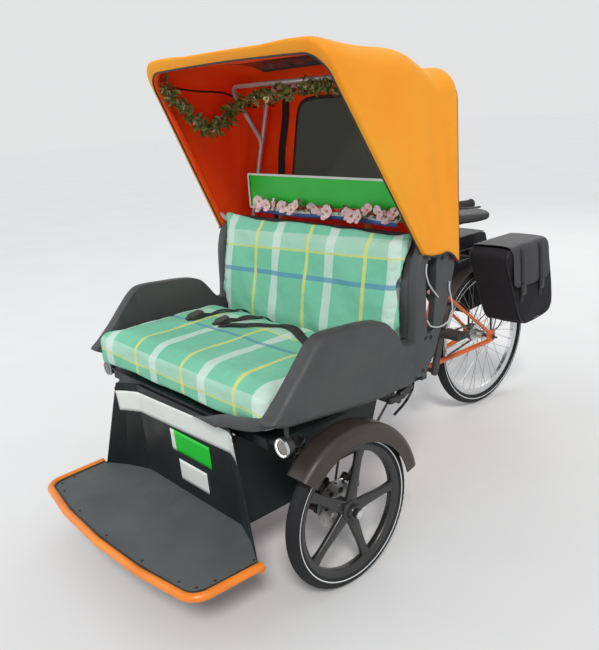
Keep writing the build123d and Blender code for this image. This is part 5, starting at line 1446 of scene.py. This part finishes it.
def leaves(places, length, seed):
    """Leaves that point every way: a four-sided blade folded along its middle rib."""
    rng = np.random.default_rng(seed)
    n = len(places)
    along = unit(rng.normal(0, 1, (n, 3)))
    across = unit(np.cross(along, rng.normal(0, 1, (n, 3))))
    up = np.cross(along, across)
    rim = [(0, 0, 0), (0.35, 0.26, 0.10), (0.75, 0.18, 0.07), (1, 0, 0), (0.75, -0.18, 0.07), (0.35, -0.26, 0.10)]
    blade = np.array([*rim, (0.5, 0, -0.03)])
    size = length * rng.uniform(0.7, 1.2, n)[:, None]
    i = np.arange(len(rim))
    faces = np.stack([i, np.full(len(rim), len(rim)), (i + 1) % len(rim)], -1)
    return copies(blade, faces, places, along * size, across * size, up * size)


def garlands():
    """The flower row on the board's foot, and the leafy garland wound along the stay and the rear bow."""
    rng = np.random.default_rng(4)
    x = np.array([-0.33, -0.30, -0.272, -0.21, -0.176, -0.12, -0.092, 0.01, 0.045, 0.076, 0.16, 0.196, 0.232, 0.262,
                  0.31, 0.345, 0.372])
    n = len(x)
    x = x + rng.uniform(-0.010, 0.010, n)
    row = np.column_stack([x, 0.400 + rng.uniform(-0.014, 0.002, n), 1.083 + rng.uniform(-0.016, 0.016, n)])
    piece("board_blossoms", petals(row, 0.023, 1), [PETAL, PETAL_HEART], "frame", outward=False, sharp=70)
    m = 120
    spots = np.column_stack([rng.uniform(-0.31, 0.41, m), rng.uniform(0.401, 0.411, m), rng.uniform(1.068, 1.098, m)])
    piece("board_leaves", [leaves(spots, 0.022, 2)], LEAF, "frame", outward=False)
    wind = through(
        [(-0.421, 0.098, 1.545), (-0.428, 0.138, 1.505), (-0.432, 0.190, 1.450), (-0.434, 0.241, 1.396),
         (-0.434, 0.285, 1.372), (-0.424, 0.335, 1.402), (-0.397, 0.365, 1.440), (-0.349, 0.375, 1.462),
         (-0.254, 0.380, 1.484), (-0.185, 0.382, 1.488), (-0.085, 0.382, 1.488), (0.021, 0.382, 1.498),
         (0.110, 0.382, 1.503), (0.177, 0.382, 1.508)],
        170,
    )
    stem = bar(wind, circle(0.0016, 6), slot=1)
    around = wind + rng.normal(0, 0.010, wind.shape)
    spray = [leaves(np.repeat(around, 4, 0) + rng.normal(0, 0.006, (680, 3)), 0.029, 3)]
    piece("garland", spray + stem, [LEAF, CABLE_GREY], "frame", outward=False)
    pick = wind[rng.integers(0, 170, 15)] + rng.normal(0, 0.008, (15, 3))
    blossoms = petals(pick, 0.014, 5)
    piece("garland_blossoms", blossoms, [CREAM, PETAL_HEART], "frame", outward=False, sharp=70)


board_trim()
garlands()

# Moulded wings.


def moulded_wing(side):
    """The seat back's wing as one soft moulding: a superellipse carried up the wing's line, out of the seat side
    and into the hood's foot, slimmer towards the top."""
    line = [(0.318, 0.590), (0.326, 0.640), (0.338, 0.700), (0.345, 0.760), (0.347, 0.830), (0.352, 0.900),
            (0.364, 0.950), (0.384, 0.992)]
    path = set_at(side * 0.5080, through(line, 60))
    size = 1 - 0.12 * np.linspace(0, 1, 60) ** 2
    return bar(path, rounded(0.0245, 0.0255, 3.2, 28), up=(0, 1, 0), scale=size)


piece("moulded_wings", moulded_wing(1) + moulded_wing(-1), SHELL_GREY, "frame", sharp=70)

# Plates and trim on the panel and the step.


def panel_y(x, z):
    """The front panel's outer face: straight lines between its foot line and its head line."""
    foot = np.array([(0.450, -0.322), (0.370, -0.276), (0.270, -0.238)])
    head = np.array([(0.345, -0.292), (0.316, -0.272), (0.270, -0.252)])
    foot, head = (np.vstack([half * (-1, 1), half[::-1]]) for half in (foot, head))
    share = ((z - 0.2053) / 0.3377)[..., None, None]
    line = foot + (head - foot) * share
    lx, ly = line[..., 0], line[..., 1]
    i = np.clip((x[..., None] > lx).sum(-1) - 1, 0, 4)[..., None]
    x0, x1 = (np.take_along_axis(lx, i + k, -1)[..., 0] for k in (0, 1))
    y0, y1 = (np.take_along_axis(ly, i + k, -1)[..., 0] for k in (0, 1))
    return y0 + (y1 - y0) * np.clip((x - x0) / (x1 - x0), 0, 1)


def film(x0, x1, low0, low1, high0, high1, lift, slot=0):
    """A thin patch on the panel, its upper and lower edges straight between the two ends."""
    t, v = np.meshgrid(np.linspace(0, 1, 60), np.linspace(0, 1, 8), indexing="ij")
    x = x0 + (x1 - x0) * t
    low, high = low0 + (low1 - low0) * t, high0 + (high1 - high0) * t
    z = low + (high - low) * v
    return surface(np.stack([x, panel_y(x, z) - lift, z], -1), slot=slot)


def panel_plates():
    """A blank pale strip along the panel, and two blank plates below it."""
    strip = [film(-0.352, 0.350, 0.434, 0.459, 0.512, 0.533, 0.0012)]
    strip = piece("panel_strip", strip, WHITE, "frame", outward=False)
    thicken(strip, 0.0008)
    plates = [
        film(-0.075, 0.152, 0.357, 0.357, 0.436, 0.436, 0.0032, 0),
        film(-0.074, -0.052, 0.358, 0.358, 0.435, 0.435, 0.0040, 1),
        film(-0.045, 0.115, 0.253, 0.253, 0.329, 0.329, 0.0032, 1),
    ]
    cards = piece("panel_plates", plates, [SIGN_GREEN, WHITE], "frame", outward=False)
    thicken(cards, 0.0022)


def step_trim():
    """Rubber line between the step's plate and its tube, and the plate's screws."""
    half = [(0.4615, -0.326), (0.4575, -0.400), (0.4535, -0.470), (0.4485, -0.505), (0.434, -0.533),
            (0.408, -0.545), (0.330, -0.556), (0.232, -0.5690), (0.116, -0.5765)]
    route = half + [(0.0, -0.5795)] + [(-x, y) for x, y in half[::-1]]
    line = through([(x, y, 0.2055) for x, y in route], 240)
    piece("step_gasket", bar(line, rounded(0.0042, 0.0026, 3, 10)), PIPING, "frame")
    screws = []
    inset = through([(x * 0.963, y + 0.018 if abs(x) < 0.44 else y, 0.2052) for x, y in route], 11)
    for place in inset:
        screws += bolt(place, (0, 0, 1), 0.0040, 0.0018)
    piece("step_screws", screws, DARK_STEEL, "frame")


panel_plates()
step_trim()


def guard_beads():
    """The rolled edges of the mudguards: a thin round bead along each edge's arc."""
    rows = [
        # name, body, axle's y and z, first and last angle, steps, bead radius, each edge's arc radius and x
        ("left", "knuckle_left", 0, FRONT_R, 13.5, 136.5, 90, 0.0026, ((0.2292, 0.5588), (0.2562, 0.4652))),
        ("right", "knuckle_right", 0, FRONT_R, 13.5, 136.5, 90, 0.0026, ((0.2292, -0.5588), (0.2562, -0.4652))),
        ("rear", "frame", WHEELBASE, REAR_R, 20.5, 159.5, 120, 0.0022, ((0.3325, -0.030), (0.3325, 0.030))),
    ]
    for name, body, y, z, first, last, steps, bead, edges in rows:
        a = np.radians(np.linspace(first, last, steps))
        parts = []
        for radius, x in edges:
            line = set_at(x, np.stack([y + radius * np.cos(a), z + radius * np.sin(a)], -1))
            parts += bar(line, circle(bead, 8), up=(1, 0.01, 0.01))
        piece(f"guard_bead_{name}", parts, GUARD_PLASTIC, body)


def small_fixings():
    """Screw heads on the brackets and seat sides, caliper bolts, and the hood's latch with its lever and knob."""
    dark = []
    for side in (-1, 1):
        for y, z in ((0.385, 0.708), (0.492, 0.948), (0.452, 0.955), (0.345, 0.606)):
            dark += bolt((side * 0.5318, y, z), (side, 0, 0), 0.0065, 0.0035)
    piece("bracket_screws", dark, DARK_STEEL, "frame")
    for side, name in SIDES:
        parts = []
        for dy, dz in ((-0.017, 0.015), (0.017, -0.015)):
            parts += bolt((side * 0.4745, 0.062 + dy, 0.300 + dz), (side, 0, 0), 0.0042, 0.003)
        piece(f"caliper_bolts_{name}", parts, DARK_STEEL, f"knuckle_{name}")
    lever = through([(0.500, 0.334, 0.564), (0.501, 0.322, 0.532), (0.502, 0.285, 0.503), (0.502, 0.234, 0.480)], 30)
    piece("latch_lever", bar(lever, rounded(0.0065, 0.0028, 4, 12)), SILVER, "frame")
    knob = [(0, 0.006), (0.004, 0.0105), (0.048, 0.0120), (0.058, 0.0095), (0.061, 0.003)]
    knob = turned((0.500, 0.268, 0.5315), (0, -1, 0.05), knob, 24)
    knob += slab((0.500, 0.290, 0.5480), (1, 0, 0), (0, 1, 0.5), (0, -0.5, 1), (0.012, 0.030, 0.014), 5, 0.3)
    piece("latch_knob", knob, SADDLE_BLACK, "frame")


guard_beads()
small_fixings()

set_camera()
set_light()
